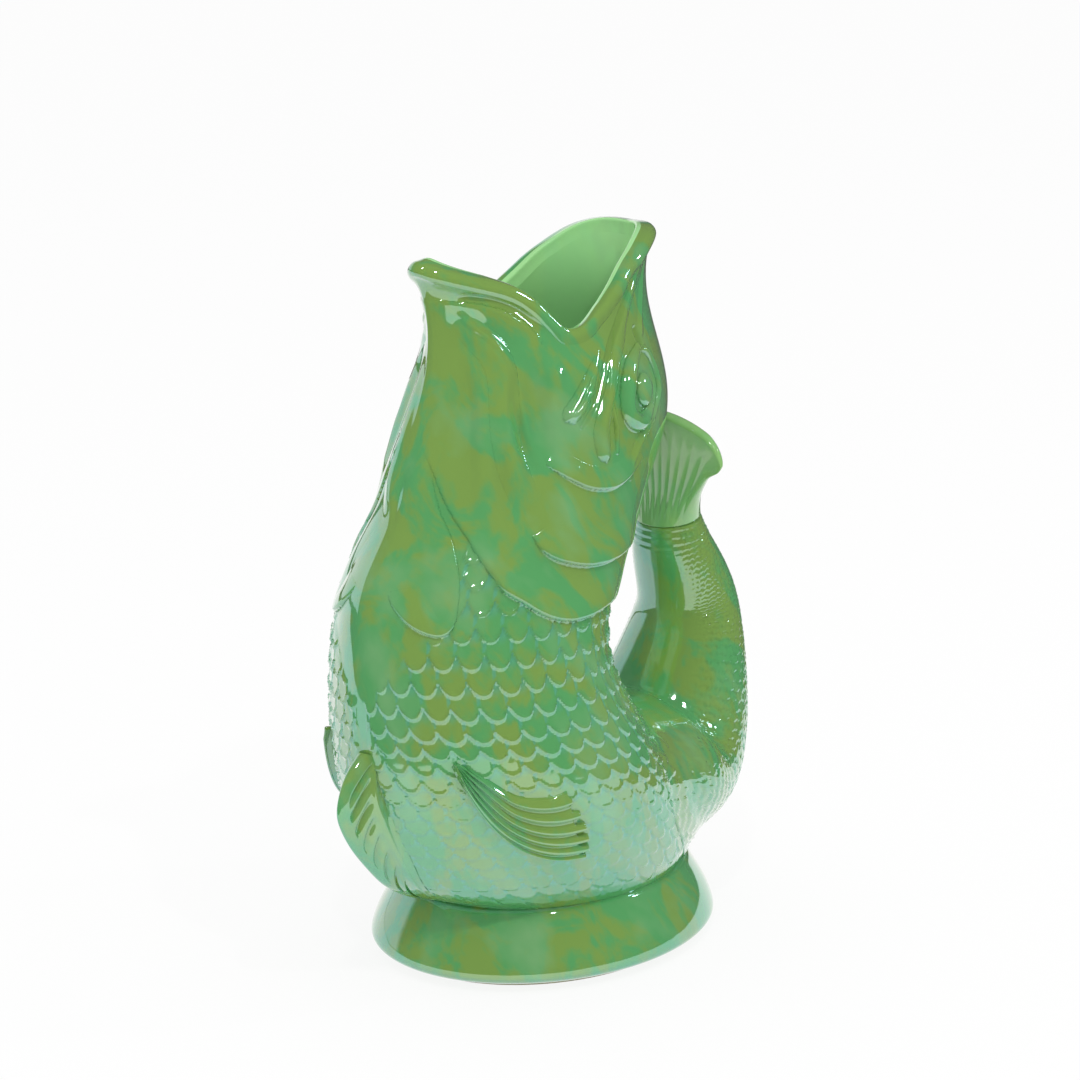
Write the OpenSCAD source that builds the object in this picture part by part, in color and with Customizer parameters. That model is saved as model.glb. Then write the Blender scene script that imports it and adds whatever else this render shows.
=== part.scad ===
// Gurgle jug in the shape of an upright fish, slip-cast and glazed earthenware.
// The open mouth is the spout, the tail is a hollow handle that opens into the belly at its
// root, and an oval foot carries the jug. Millimetres, Z up, the spout points to -X, the tail
// is on +X, the fish's left side is on -Y, and the bottom of the foot lies on Z = 0.
// The clay parts are cast shells and pressed reliefs, luted together before the firing.
// Angles round the body run from the front (0) over the left side (90) to the back (180).

/* [Overall size] */
// Height from the table to the tip of the upper lip
jug_height = 244; // [235:1:253]
// Length of the belly from the middle of the foot to its front
belly_length = 90; // [87:1:93]
// Width of the belly at its widest level
belly_width = 107; // [103:1:111]
// Distance of the middle of the foot behind the middle of the jug
foot_offset = 2.4; // [1.6:0.1:3.2]

/* [Wall] */
// Thickness of the cast wall
wall = 4.5; // [4:0.1:5.2]
// Slip joint left between a luted relief and the skin under it
slip_joint = 0.2; // [0.1:0.05:0.4]

/* [Foot] */
// How far the foot stands out beyond the bottom of the belly, in front and behind
foot_length_overhang = 12; // [10:0.5:14]
// How far the foot stands out beyond the widest part of the belly at the sides
foot_width_overhang = 0.5; // [0:0.1:1]
// Height of the bare clay ring that touches the table
ring_height = 2; // [1.5:0.1:3]
// Width of the bare clay ring
ring_width = 7; // [6:0.5:9]
// Depth of the recess under the foot
recess_depth = 5; // [4:0.5:6]
// Thickness of the floor of the jug
floor_thickness = 6; // [5:0.5:7]

/* [Mouth] */
// Height of the rolled lip along the mouth
lip_height = 5; // [4.5:0.1:5.5]
// Overhang of the rolled lip outside the wall
lip_overhang = 1.9; // [1.4:0.1:2.4]
// Swelling of the rolled lip inside the wall
lip_inside = 0.6; // [0.3:0.1:0.9]

/* [Tail] */
// Thickness of the tail at its root, seen from the side
tail_thickness = 56; // [53:1:58]
// Width of the tail at its root, seen from behind
tail_width = 88; // [84:1:90]
// Width of the tail fan across its top edge
fan_width = 65; // [62:1:68]
// Depth of one rib of the tail fan
fan_rib_depth = 0.7; // [0.4:0.1:1]

/* [Reliefs] */
// Height of the gill covers above the skin at their lower edge
gill_height = 2.6; // [2:0.1:3.2]
// Height of the folds of the cheek and the throat
fold_height = 2.4; // [1.8:0.1:3]
// Height of the free edge of a scale of the belly above the skin
plate_height = 1; // [0.6:0.1:1.3]
// Height of the paired fins above the skin
fin_height = 2.8; // [2.2:0.1:3.4]
// Depth of the valleys between the ribs of the paired fins
fin_rib_depth = 1; // [0.6:0.1:1.3]
// Thickness of the fin under the belly, halfway out
keel_fin_thickness = 5; // [4.5:0.1:5.5]
// Width of the foot of that fin where it runs out into the belly
keel_root_width = 17; // [15:0.5:19]
// Half height of the eye ring, from its middle to its outer edge
eye_radius = 12.5; // [11.5:0.5:13.5]

/* [Hidden] */

glaze = [0.42, 0.68, 0.38];
glaze_pale = [0.55, 0.78, 0.58];
glaze_dark = [0.33, 0.58, 0.32];
bare_clay = [0.9, 0.86, 0.78];

// Columns round a shell, and round the tail
around = 60;
tail_around = 32;

// Levels of the body, then its reach to the front and to the back of the middle of the foot,
// its half width, and the place of its widest point, all as shares
level_shares = [0.104, 0.128, 0.168, 0.248, 0.344, 0.44, 0.52, 0.572, 0.632, 0.688,
    0.76, 0.82, 0.888, 1];
front_shares = [0.595, 0.733, 0.835, 0.918, 0.963, 0.983, 0.967, 0.92, 0.811, 0.76,
    0.68, 0.62, 0.608, 0.7];
back_shares = [0.595, 0.615, 0.589, 0.422, 0.2, 0.044, 0.1, 0.256, 0.378, 0.511,
    0.567, 0.528, 0.483, 0.533];
width_shares = [0.411, 0.435, 0.467, 0.5, 0.486, 0.439, 0.409, 0.386, 0.363, 0.339,
    0.31, 0.275, 0.228, 0.21];
middle_shares = [0, -0.022, -0.078, -0.178, -0.278, -0.333, -0.289, -0.222, -0.156, -0.1,
    -0.044, -0.011, 0.028, 0.056];
// Power of the outline of each level in front, pointed like a keel, and at the round back
keel_power_shares = [2, 1.9, 1.8, 1.75, 1.75, 1.75, 1.75, 1.72, 1.7, 1.68, 1.63, 1.55, 1.47, 1.65];
back_power_share = 2;

// Height of the mouth's edge round the head, from the front of the lower lip (0 degrees) past
// the corner of the mouth to the middle of the upper lip (180 degrees)
rim_angles = [0, 12, 22, 33, 43, 51, 57, 64, 70, 78, 89, 101, 110, 120, 130, 142, 156, 180];
rim_shares = [0.976, 0.971, 0.963, 0.953, 0.941, 0.928, 0.909, 0.888, 0.873, 0.878, 0.897,
    0.919, 0.937, 0.951, 0.963, 0.972, 0.976, 0.975];

// Full height of the scale of levels; the tip of the upper lip ends at 0.976 of it
lip_tip_share = 0.976;
level_height = jug_height / lip_tip_share;

foot_share = 0.104;
neck_share = 0.54;
head_share = 0.74;
foot_top = foot_share * level_height;
foot_x = foot_offset;
foot_half_length = belly_length * front_shares[0] + foot_length_overhang;
foot_half_width = belly_width / 2 + foot_width_overhang;

// Smooth curve through a table
function span_of(ts, t, i = 0) = i >= len(ts) - 2 || t < ts[i + 1] ? i : span_of(ts, t, i + 1);
function slope_of(ts, vs, i) =
    i == 0 ? (vs[1] - vs[0]) / (ts[1] - ts[0])
    : i == len(ts) - 1 ? (vs[i] - vs[i - 1]) / (ts[i] - ts[i - 1])
    : (vs[i + 1] - vs[i - 1]) / (ts[i + 1] - ts[i - 1]);
function curve_at(ts, vs, t) =
    let(i = span_of(ts, t), h = ts[i + 1] - ts[i], s = (t - ts[i]) / h)
    (2 * s ^ 3 - 3 * s ^ 2 + 1) * vs[i]
    + (s ^ 3 - 2 * s ^ 2 + s) * h * slope_of(ts, vs, i)
    + (3 * s ^ 2 - 2 * s ^ 3) * vs[i + 1]
    + (s ^ 3 - s ^ 2) * h * slope_of(ts, vs, i + 1);
function even(n) = [for (i = [0 : n - 1]) i / (n - 1)];
function path_at(path, s) = curve_at(even(len(path)), path, s);

// Outline of the body at a level share: reach to the front, to the back, half width, middle
function level_at(t) = [
    belly_length * curve_at(level_shares, front_shares, t),
    belly_length * curve_at(level_shares, back_shares, t),
    belly_width * curve_at(level_shares, width_shares, t),
    belly_length * curve_at(level_shares, middle_shares, t),
    curve_at(level_shares, keel_power_shares, t)];
function oval_point(lv, z, a, inset = 0) =
    let(c = cos(a), s = sin(a), p = c > 0 ? lv[4] : back_power_share,
        reach = c > 0 ? lv[0] + lv[3] - inset : lv[1] - lv[3] - inset)
    [foot_x + lv[3] - sign(c) * reach * abs(c) ^ (2 / p),
     -(lv[2] - inset) * sign(s) * abs(s) ^ (2 / p), z];
function skin(t, a) = oval_point(level_at(t), t * level_height, a);
function skin_normal(t, a) =
    let(e = 0.002, n = cross(skin(t, a + 1) - skin(t, a - 1), skin(t + e, a) - skin(t - e, a)))
    n / norm(n);
function lifted(t, a, lift) = skin(t, a) + lift * skin_normal(t, a);

// Thickness of the wall measured level, thicker where the belly rounds under to the foot
function wall_at(t) = wall * (1 + 0.5 * max(0, (0.2 - t) / 0.1) ^ 2);
function wall_point(t, a) = oval_point(level_at(t), t * level_height, a, wall_at(t));

// A body closed from rows of points; every row is a closed loop of the same count
function ring_faces(n, m, from, to) = [for (k = [from : to - 1], j = [0 : m - 1])
    let(a = k % n * m + j, b = k % n * m + (j + 1) % m,
        c = (k + 1) % n * m + (j + 1) % m, d = (k + 1) % n * m + j)
    each [[a, d, b], [b, d, c]]];
module rows_body(rows, looped = false, flip = false) {
    n = len(rows);
    m = len(rows[0]);
    points = [for (row = rows) each row];
    middle = function(row) [for (i = [0 : 2]) [for (p = row) p[i]] * [for (p = row) 1] / m];
    walls = ring_faces(n, m, 0, looped ? n : n - 1);
    caps = looped ? [] : [for (j = [0 : m - 1])
        each [[n * m, j, (j + 1) % m], [n * m + 1, (n - 1) * m + (j + 1) % m, (n - 1) * m + j]]];
    faces = concat(walls, caps);
    polyhedron(
        points = looped ? points : concat(points, [middle(rows[0]), middle(rows[n - 1])]),
        faces = flip ? [for (f = faces) [f[2], f[1], f[0]]] : faces);
}

// Inside rows of a shell, from the top down
function inside_rows(shares, angles) =
    [for (i = [len(shares) - 1 : -1 : 0]) [for (a = angles) wall_point(shares[i], a)]];
even_angles = [for (j = [0 : around - 1]) j * 360 / around];

// Mouth edge round the head, mirrored for the far side
function folded(a) = let(b = abs((a % 360 + 360) % 360)) b > 180 ? 360 - b : b;
function rim_at(a) = curve_at(rim_angles, rim_shares, folded(a));
function rim_slope(a) = norm(skin(rim_at(a + 2), a + 2) - skin(rim_at(a - 2), a - 2))
    / max(0.001, norm([for (i = [0, 1]) (skin(rim_at(a + 2), a + 2) - skin(rim_at(a - 2), a - 2))[i]]));
function seat_at(a) = rim_at(a) - lip_height * min(1.3, rim_slope(a)) / level_height;

// Foot: profile of the flank as shares of its half axes and of its height, from bottom to top
flank_height_shares = [0, 0.04, 0.14, 0.32, 0.52, 0.72, 0.88, 1];
flank_shares = [0.86, 0.945, 1, 0.985, 0.95, 0.905, 0.86, 0.815];
floor_share = 0.4;
function foot_oval(share, inset, z, j) =
    let(a = j * 360 / around)
    [foot_x - (foot_half_length * share - inset) * cos(a),
     -(foot_half_width * share - inset) * sin(a), z];

module foot_ring() {
    color(bare_clay)
        translate([foot_x, 0, 0])
            linear_extrude(ring_height)
                polygon(
                    points = concat(
                        [for (j = [0 : around - 1]) let(a = j * 360 / around)
                            [foot_half_length * flank_shares[0] * cos(a),
                             foot_half_width * flank_shares[0] * sin(a)]],
                        [for (j = [0 : around - 1]) let(a = j * 360 / around)
                            [(foot_half_length * flank_shares[0] - ring_width) * cos(a),
                             (foot_half_width * flank_shares[0] - ring_width) * sin(a)]]),
                    paths = [[for (j = [0 : around - 1]) j],
                        [for (j = [0 : around - 1]) around + j]]);
}

module foot() {
    inner_floor = recess_depth + floor_thickness;
    flank = [for (i = [0 : len(flank_shares) - 1])
        let(z = ring_height + flank_height_shares[i] * (foot_top - ring_height),
            w = max(0, flank_height_shares[i] * 3 - 2))
        [for (j = [0 : around - 1])
            (1 - w) * foot_oval(flank_shares[i], 0, z, j)
            + w * oval_point(level_at(foot_share), z, j * 360 / around)]];
    well = [for (s = [1, 0.6, 0.25, 0])
        [for (j = [0 : around - 1])
            oval_point(level_at(foot_share), inner_floor + s * (foot_top - inner_floor),
                j * 360 / around, wall_at(foot_share) + (1 - s) ^ 2 * wall)]];
    floor_in = [[for (j = [0 : around - 1]) foot_oval(floor_share, 0, inner_floor - wall / 4, j)]];
    under = [[for (j = [0 : around - 1]) foot_oval(floor_share, 0, recess_depth, j)]];
    recess = [for (step = [[ring_width + 2 * ring_height, recess_depth], [ring_width, ring_height]])
        [for (j = [0 : around - 1]) foot_oval(flank_shares[0], step[0], step[1], j)]];
    color(glaze_dark) rows_body(concat(under, recess, flank, well, floor_in));
}

// Scales of the belly: rows and columns of plates whose free edges point down. Each row's level
// follows from its number, and a plate's tip hangs over the notch between two plates below
plate_columns = 40;
plate_turn = 360 / plate_columns;
plate_rows = [16 : -1 : 7];
plate_row_shares = [[0, 0.72], [3.4, 0.6], [7.1, 0.48], [10.2, 0.38], [13.6, 0.296], [17.3, 0.224]];
plate_tip_share = 0.85;
plate_step_share = 0.12;
// Scales rise and fade between these angles from the front
plate_fade_angles = [[13.5, 0], [22.5, 1], [99, 1], [112.5, 0]];
plated_turn = 112.5;

// Columns of the belly stand close where there are scales and wider apart round the back
back_columns = 22;
back_turn = (360 - 2 * plated_turn) / back_columns;
belly_angles = concat(
    [for (a = [0 : plate_turn / 2 : plated_turn - plate_turn / 2]) a],
    [for (j = [0 : back_columns - 1]) plated_turn + j * back_turn],
    [for (a = [360 - plated_turn : plate_turn / 2 : 360 - plate_turn / 2]) a]);
front_columns = plated_turn / plate_turn * 2;

// The skin under a paired fin is left plain
fin_margin_share = 0.02;
function under_fin(t, b) =
    b > fin_bottom_shares[0][1] - plate_turn / 2 && b < fin_top_shares[4][1] + plate_turn
    && t > lookup(b, [for (p = fin_bottom_shares) [p[1], p[0]]]) - fin_margin_share
    && t < lookup(b, [for (p = fin_top_shares) [p[1], p[0]]]) + fin_margin_share;
function plate_loop(i, step) = [for (a = belly_angles)
    let(b = folded(a), m = lookup(b, plate_fade_angles),
        tip = (2 * b / plate_turn + i) % 2 == 0 ? 1 : 0,
        t = lookup(i + plate_tip_share * (m * tip + (1 - m) / 2) + step, plate_row_shares))
    lifted(t, a, step > 0 || under_fin(t, b) ? 0 : plate_height * m * tip)];

// Belly, with the port through which the tail breathes cut in its back
below_plate_shares = [0.104, 0.128, 0.16, 0.195];
above_plate_shares = [0.51, 0.54];
inside_shares = [0.104, 0.122, 0.16, 0.2, 0.24, 0.28, 0.35, 0.44, 0.54];
// First and last row and column of the port: in the outer skin, then rows of the inner skin
port_rows = [2, 8];
port_inside_rows = [2, 5];
port_columns = [front_columns + 7, front_columns + 15];
module belly_shell() {
    outer = concat(
        [for (t = below_plate_shares) [for (a = belly_angles) skin(t, a)]],
        [for (i = plate_rows, step = [plate_step_share, 0]) plate_loop(i, step)],
        [for (t = above_plate_shares) [for (a = belly_angles) skin(t, a)]]);
    rows = concat(outer, inside_rows(inside_shares, belly_angles));
    n = len(rows);
    m = len(belly_angles);
    r0 = port_rows[0];
    r1 = port_rows[1];
    q0 = port_inside_rows[0];
    q1 = port_inside_rows[1];
    c0 = port_columns[0];
    c1 = port_columns[1];
    in_port = function(k, j) j >= c0 && j < c1
        && ((k >= r0 && k < r1) || (k >= n - 1 - q1 && k < n - 1 - q0));
    walls = [for (k = [0 : n - 1], j = [0 : m - 1]) if (!in_port(k, j))
        let(a = k * m + j, b = k * m + (j + 1) % m,
            c = (k + 1) % n * m + (j + 1) % m, d = (k + 1) % n * m + j)
        each [[a, d, b], [b, d, c]]];
    at_out = function(k, j) k * m + j;
    at_in = function(q, j) (n - 1 - q) * m + j;
    low = [for (j = [c0 : c1 - 1]) each [
        [at_out(r0, j), at_in(q0, j), at_out(r0, j + 1)],
        [at_out(r0, j + 1), at_in(q0, j), at_in(q0, j + 1)]]];
    high = [for (j = [c0 : c1 - 1]) each [
        [at_out(r1, j), at_out(r1, j + 1), at_in(q1, j)],
        [at_out(r1, j + 1), at_in(q1, j + 1), at_in(q1, j)]]];
    // The sides of the port join more rows outside to fewer rows inside
    row_inside = function(k) q0 + floor((k - r0) / (r1 - r0) * (q1 - q0));
    near = [for (k = [r0 : r1 - 1]) each concat(
        [[at_out(k, c0), at_out(k + 1, c0), at_in(row_inside(k), c0)]],
        [for (q = [row_inside(k) : 1 : row_inside(k + 1) - 1])
            [at_out(k + 1, c0), at_in(q + 1, c0), at_in(q, c0)]])];
    far = [for (k = [r0 : r1 - 1]) each concat(
        [[at_out(k, c1), at_in(row_inside(k), c1), at_out(k + 1, c1)]],
        [for (q = [row_inside(k) : 1 : row_inside(k + 1) - 1])
            [at_out(k + 1, c1), at_in(q, c1), at_in(q + 1, c1)]])];
    color(glaze)
        polyhedron(points = [for (row = rows) each row], faces = concat(walls, low, high, near, far));
}

neck_level_shares = [0.54, 0.573, 0.607, 0.64, 0.673, 0.707, 0.74];
neck_inside_shares = [0.54, 0.607, 0.673, 0.74];
module neck_shell() {
    outer = [for (t = neck_level_shares) [for (a = even_angles) skin(t, a)]];
    color(glaze) rows_body(concat(outer, inside_rows(neck_inside_shares, even_angles)), looped = true);
}

// Head, from its joint with the neck up to the seat of the rolled lip
module head_shell() {
    outer = [for (s = [0, 0.14, 0.28, 0.42, 0.56, 0.7, 0.84, 1]) [for (a = even_angles)
        skin(head_share + s * (seat_at(a) - head_share), a)]];
    inner = [for (s = [1, 0.72, 0.44, 0.2, 0]) [for (a = even_angles)
        wall_point(head_share + s * (seat_at(a) - head_share), a)]];
    color(glaze) rows_body(concat(outer, inner), looped = true);
}

// Rolled lip: its section goes from the outer edge of the seat over the top to the inner edge
lip_out_shares = [0, 0.85, 0.95, 0.3];
lip_up_shares = [0, 0.25, 0.65, 0.93];
module mouth_rim() {
    rows = [for (j = [0 : around - 1])
        let(a = j * 360 / around, z0 = seat_at(a), h = rim_at(a) - z0,
            po = skin(z0, a), pi = wall_point(z0, a), n = (po - pi) / norm(po - pi),
            up = [0, 0, h * level_height])
        concat(
            [for (i = [0 : 3]) po + n * lip_overhang * lip_out_shares[i] + up * lip_up_shares[i]],
            [po - (po - pi) * 0.5 + up],
            [for (i = [3 : -1 : 0]) pi - n * lip_inside * lip_out_shares[i] + up * lip_up_shares[i]])];
    color(glaze_pale) rows_body(rows, looped = true, flip = true);
}

// A strap of clay laid along the skin. The path holds [level share, angle] pairs, and the
// half widths and heights run along it as shares of their length; a profile gives the shape
// across as [share of half width, share of height] pairs
round_profile_shares = [[-1, 0], [-0.9, 0.5], [-0.5, 0.9], [0, 1], [0.5, 0.9], [0.9, 0.5], [1, 0]];
function strap_point(path, s, side_mm, lift) =
    let(p = path_at(path, s), q = path_at(path, min(1, s + 0.02)), r = path_at(path, max(0, s - 0.02)),
        across = norm(skin(p[0], p[1] + 1) - skin(p[0], p[1] - 1)) / 2,
        along = norm(skin(p[0] + 0.004, p[1]) - skin(p[0] - 0.004, p[1])) / 0.008,
        du = (q[1] - r[1]) * across, dv = (q[0] - r[0]) * along, g = max(0.0001, norm([du, dv])))
    lifted(p[0] + side_mm * du / g / along, p[1] - side_mm * dv / g / across, lift);
module strap(path, half_width, width_shares_along, height, height_shares_along, steps = 14,
    profile = round_profile_shares, from_edge = 0) {
    rows = [for (i = [0 : steps - 1])
        let(s = i / (steps - 1),
            w = half_width * path_at(width_shares_along, s),
            h = height * path_at(height_shares_along, s))
        concat(
            [for (f = profile)
                strap_point(path, s, w * (f[0] + from_edge), slip_joint + h * (0.15 + 0.85 * f[1]))],
            [for (i = [len(profile) - 1 : -2 : 0])
                strap_point(path, s, w * (profile[i][0] + from_edge), slip_joint)])];
    rows_body(rows, flip = true);
}

// Second ridge under the rolled lip, round the front of the lower lip
ridge_shares = [[0.868, -56], [0.89, -50], [0.911, -37], [0.923, -22], [0.932, 0],
    [0.923, 22], [0.911, 37], [0.89, 50], [0.868, 56]];
module lip_ridge() {
    color(glaze_pale)
        strap(ridge_shares, fold_height * 0.9, [0.35, 0.9, 1, 1, 1, 1, 1, 0.9, 0.35],
            fold_height * 0.6, [0.4, 0.9, 1, 1, 1, 1, 1, 0.9, 0.4], steps = 25);
}

// Tail: middle line as shares of the jug's height (behind the middle of the foot, above the
// table), then its thickness and its width as shares
tail_line_shares = [[0, 0.24], [0.168, 0.205], [0.248, 0.221], [0.286, 0.303], [0.304, 0.384],
    [0.298, 0.436], [0.274, 0.488], [0.26, 0.544]];
tail_thick_shares = [0.96, 1, 1, 0.84, 0.64, 0.56, 0.5, 0.36];
tail_wide_shares = [1, 0.93, 0.75, 0.6, 0.48, 0.41, 0.36, 0.285];
bore_end_share = 0.86;
function tail_middle(s) =
    let(p = path_at(tail_line_shares, s)) [foot_x + p[0] * level_height, 0, p[1] * level_height];
function tail_run(s) =
    let(d = tail_middle(min(1, s + 0.01)) - tail_middle(max(0, s - 0.01))) d / norm(d);
function tail_point(s, a, inset) =
    let(d = tail_run(s), inward = [-d[2], 0, d[0]],
        th = tail_thickness / 2 * path_at(tail_thick_shares, s) - inset,
        wd = tail_width / 2 * path_at(tail_wide_shares, s) - inset)
    tail_middle(s) + inward * th * cos(a) + [0, -wd * sin(a), 0];
// How far a point is outside the body, as the power sum of its shares of the level's axes
function outside(p, gap) =
    let(lv = level_at(p[2] / level_height), x = p[0] - foot_x - lv[3],
        pw = x < 0 ? lv[4] : back_power_share,
        reach = (x < 0 ? lv[0] + lv[3] : lv[1] - lv[3]) + gap)
    (abs(x) / reach) ^ pw + (abs(p[1]) / (lv[2] + gap)) ^ pw - 1;
function leave_at(a, inset, lo, hi, n = 12) =
    n == 0 ? hi
    : let(mid = (lo + hi) / 2) outside(tail_point(mid, a, inset), slip_joint * 1.5) > 0
        ? leave_at(a, inset, lo, mid, n - 1)
        : leave_at(a, inset, mid, hi, n - 1);
module tail_tube() {
    leave_out = [for (j = [0 : tail_around - 1]) leave_at(j * 360 / tail_around, 0, 0, 0.4)];
    leave_in = [for (j = [0 : tail_around - 1]) leave_at(j * 360 / tail_around, wall, 0, 0.4)];
    outer = [for (i = [0 : 18]) [for (j = [0 : tail_around - 1])
        tail_point(leave_out[j] + i / 18 * (1 - leave_out[j]), j * 360 / tail_around, 0)]];
    // The bore narrows to a rounded end inside the neck of the tail
    bore_step_shares = [1, 0.96, 0.88, 0.76, 0.64, 0.52, 0.4, 0.3, 0.2, 0.1, 0];
    bore = [for (s = bore_step_shares) [for (j = [0 : tail_around - 1])
        tail_point(leave_in[j] + s * (bore_end_share - leave_in[j]), j * 360 / tail_around,
            s == 1 ? wall * 1.9 : s > 0.95 ? wall * 1.3 : wall)]];
    color(glaze) rows_body(concat(bore, outer));
}

// Tail fan: the line of the tail goes on upward, the fan widens and thins to its edge
fan_line_shares = [[0.2596, 0.5455], [0.248, 0.59], [0.233, 0.64], [0.221, 0.698]];
fan_thick_shares = [1, 0.62, 0.42, 0.24];
fan_wide_shares = [0.385, 0.53, 0.78, 1];
fan_ribs = 13;
// The ribs reach their full depth at this share of the fan's height, and the corners of its
// edge droop and curl forward by these shares of its width
fan_rib_rise_share = 0.5;
fan_droop_share = 0.13;
fan_curl_share = 0.05;
function fan_point(s, a) =
    let(p = path_at(fan_line_shares, s), q = path_at(fan_line_shares, min(1, s + 0.02)),
        r = path_at(fan_line_shares, max(0, s - 0.02)), d = (q - r) / norm(q - r),
        run = [d[0], 0, d[1]], inward = [-d[1], 0, d[0]], w = sin(a), e = cos(a),
        th = tail_thickness / 2 * tail_thick_shares[7] * path_at(fan_thick_shares, s),
        body = sign(e) * abs(e) ^ (1 - 0.55 * s),
        depth = fan_rib_depth * min(1, s / fan_rib_rise_share),
        rib = depth * cos(180 * fan_ribs * w) * abs(e) ^ 0.5 * sign(e))
    [foot_x + p[0] * level_height, 0, p[1] * level_height]
    + inward * (th * body + rib + fan_width * fan_curl_share * s * w ^ 2)
    + run * (-fan_width * fan_droop_share * s ^ 2 * w ^ 2)
    + [0, -fan_width / 2 * path_at(fan_wide_shares, s) * w, 0];
module tail_fan() {
    columns = 56;
    rows = [for (i = [0 : 9]) [for (j = [0 : columns - 1])
        fan_point(i / 9, j < columns / 2
            ? -90 + 180 * (0.5 - 0.5 * cos(360 * j / columns)) * 0.3 + 0.7 * 360 * j / columns
            : 90 + 180 * (0.5 - 0.5 * cos(360 * (j / columns - 0.5))) * 0.3
                + 0.7 * 360 * (j / columns - 0.5))]];
    color(glaze_pale) rows_body(rows);
}

// Fin on the middle line under the belly: outer edge as [ahead of the middle of the foot, above
// the table] shares of the belly's length and of the height, from its top to its landing
keel_edge_shares = [[0.978, 0.345], [1.061, 0.318], [1.106, 0.28], [1.089, 0.25],
    [1.033, 0.216], [0.956, 0.182], [0.867, 0.15], [0.75, 0.124], [0.639, 0.109]];
keel_root_shares = [0.34, 0.318, 0.288, 0.258, 0.226, 0.196, 0.166, 0.136, 0.112];
keel_wide_shares = [0.16, 0.26, 0.42, 0.64, 0.82, 0.94, 1, 1, 0.9];
keel_grooves = 8;
module ventral_fin() {
    steps = 25;
    across = [0.3, 0.6, 0.85, 0.97];
    rows = [for (i = [0 : steps - 1])
        let(s = i / (steps - 1), e = path_at(keel_edge_shares, s), t = path_at(keel_root_shares, s),
            tip = [foot_x - e[0] * belly_length, 0, e[1] * level_height],
            groove = 1 - 0.16 * (0.5 - 0.5 * cos(360 * keel_grooves * s)),
            half = keel_root_width / 2 * path_at(keel_wide_shares, s),
            spread = [for (f = [1, 0.6, 0.25]) f * asin(min(1, (half / (belly_width / 2)) ^ 0.875))],
            root = lifted(t, 0, slip_joint),
            wide = [for (f = across) groove * (half * (1 - f) ^ 1.3 + keel_fin_thickness / 2 * (1 - f ^ 4))])
        concat(
            [for (f = spread) lifted(t, f, slip_joint)],
            [root],
            [for (i = [2 : -1 : 0]) lifted(t, -spread[i], slip_joint)],
            [for (i = [0 : 3]) root + (tip - root) * across[i] + [0, wide[i], 0]],
            [tip],
            [for (i = [3 : -1 : 0]) root + (tip - root) * across[i] - [0, wide[i], 0]])];
    color(glaze_pale) rows_body(rows, flip = true);
}

// Paired fin of the left side: upper and lower edge as [level share, angle] from root to tip
fin_top_shares = [[0.336, 40], [0.312, 45], [0.288, 51], [0.288, 60], [0.296, 69]];
fin_bottom_shares = [[0.328, 37.5], [0.288, 39], [0.232, 44.5], [0.206, 54], [0.192, 67]];
fin_ribs = 7;
// The ribs reach their full depth at this share of the fin's length, and their ends scallop its
// edge by this angle
fin_rib_rise_share = 0.33;
fin_scallop_angle = 1.6;
module fin_left() {
    columns = 29;
    rows = [for (i = [0 : 10])
        let(s = i / 10, p = path_at(fin_top_shares, s), q = path_at(fin_bottom_shares, s))
        concat(
            [for (j = [0 : columns - 1])
                let(w = j / (columns - 1), c = p + (q - p) * w,
                    edge = min(1, 6 * min(w, 1 - w) + 0.2),
                    depth = fin_rib_depth * min(1, s / fin_rib_rise_share),
                    rib = depth * (0.5 + 0.5 * cos(360 * fin_ribs * w)))
                lifted(c[0], c[1] + s * fin_scallop_angle * cos(360 * fin_ribs * w / 2) ^ 2,
                    slip_joint + fin_height * edge * (0.25 + 0.75 * s) - rib * 0.8 * edge)],
            [for (j = [columns - 1 : -4 : 0])
                let(w = j / (columns - 1), c = p + (q - p) * w)
                lifted(c[0], c[1] + s * fin_scallop_angle * cos(360 * fin_ribs * w / 2) ^ 2,
                    slip_joint)])];
    color(glaze_pale) rows_body(rows);
}

// Gill covers of the left side: three plates, each proud at its lower edge and fading upward
gill_profile_shares = [[-1, 0.35], [-0.95, 0.85], [-0.8, 1], [-0.55, 0.8], [-0.1, 0.5], [0.5, 0.25],
    [1, 0]];
gill_upper_shares = [[0.708, 63], [0.69, 69.5], [0.676, 79], [0.675, 92], [0.679, 104], [0.686, 118]];
gill_middle_shares = [[0.63, 59], [0.604, 69.5], [0.587, 80], [0.583, 94], [0.58, 108], [0.58, 122]];
gill_lower_shares = [[0.592, 46.5], [0.563, 57], [0.537, 68.5], [0.52, 79.5], [0.505, 94], [0.496, 108]];
gill_edge_shares = [gill_upper_shares, gill_middle_shares, gill_lower_shares];
gill_breadth_shares = [0.9, 2.6, 2.6];
module gills_left() {
    taper = [0.35, 0.9, 1, 1, 0.9, 0.45];
    color(glaze) {
        for (i = [0 : 2])
            strap(gill_edge_shares[i], gill_height * gill_breadth_shares[i], taper, gill_height, taper,
                steps = 15, profile = gill_profile_shares, from_edge = 1);
    }
}

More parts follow.
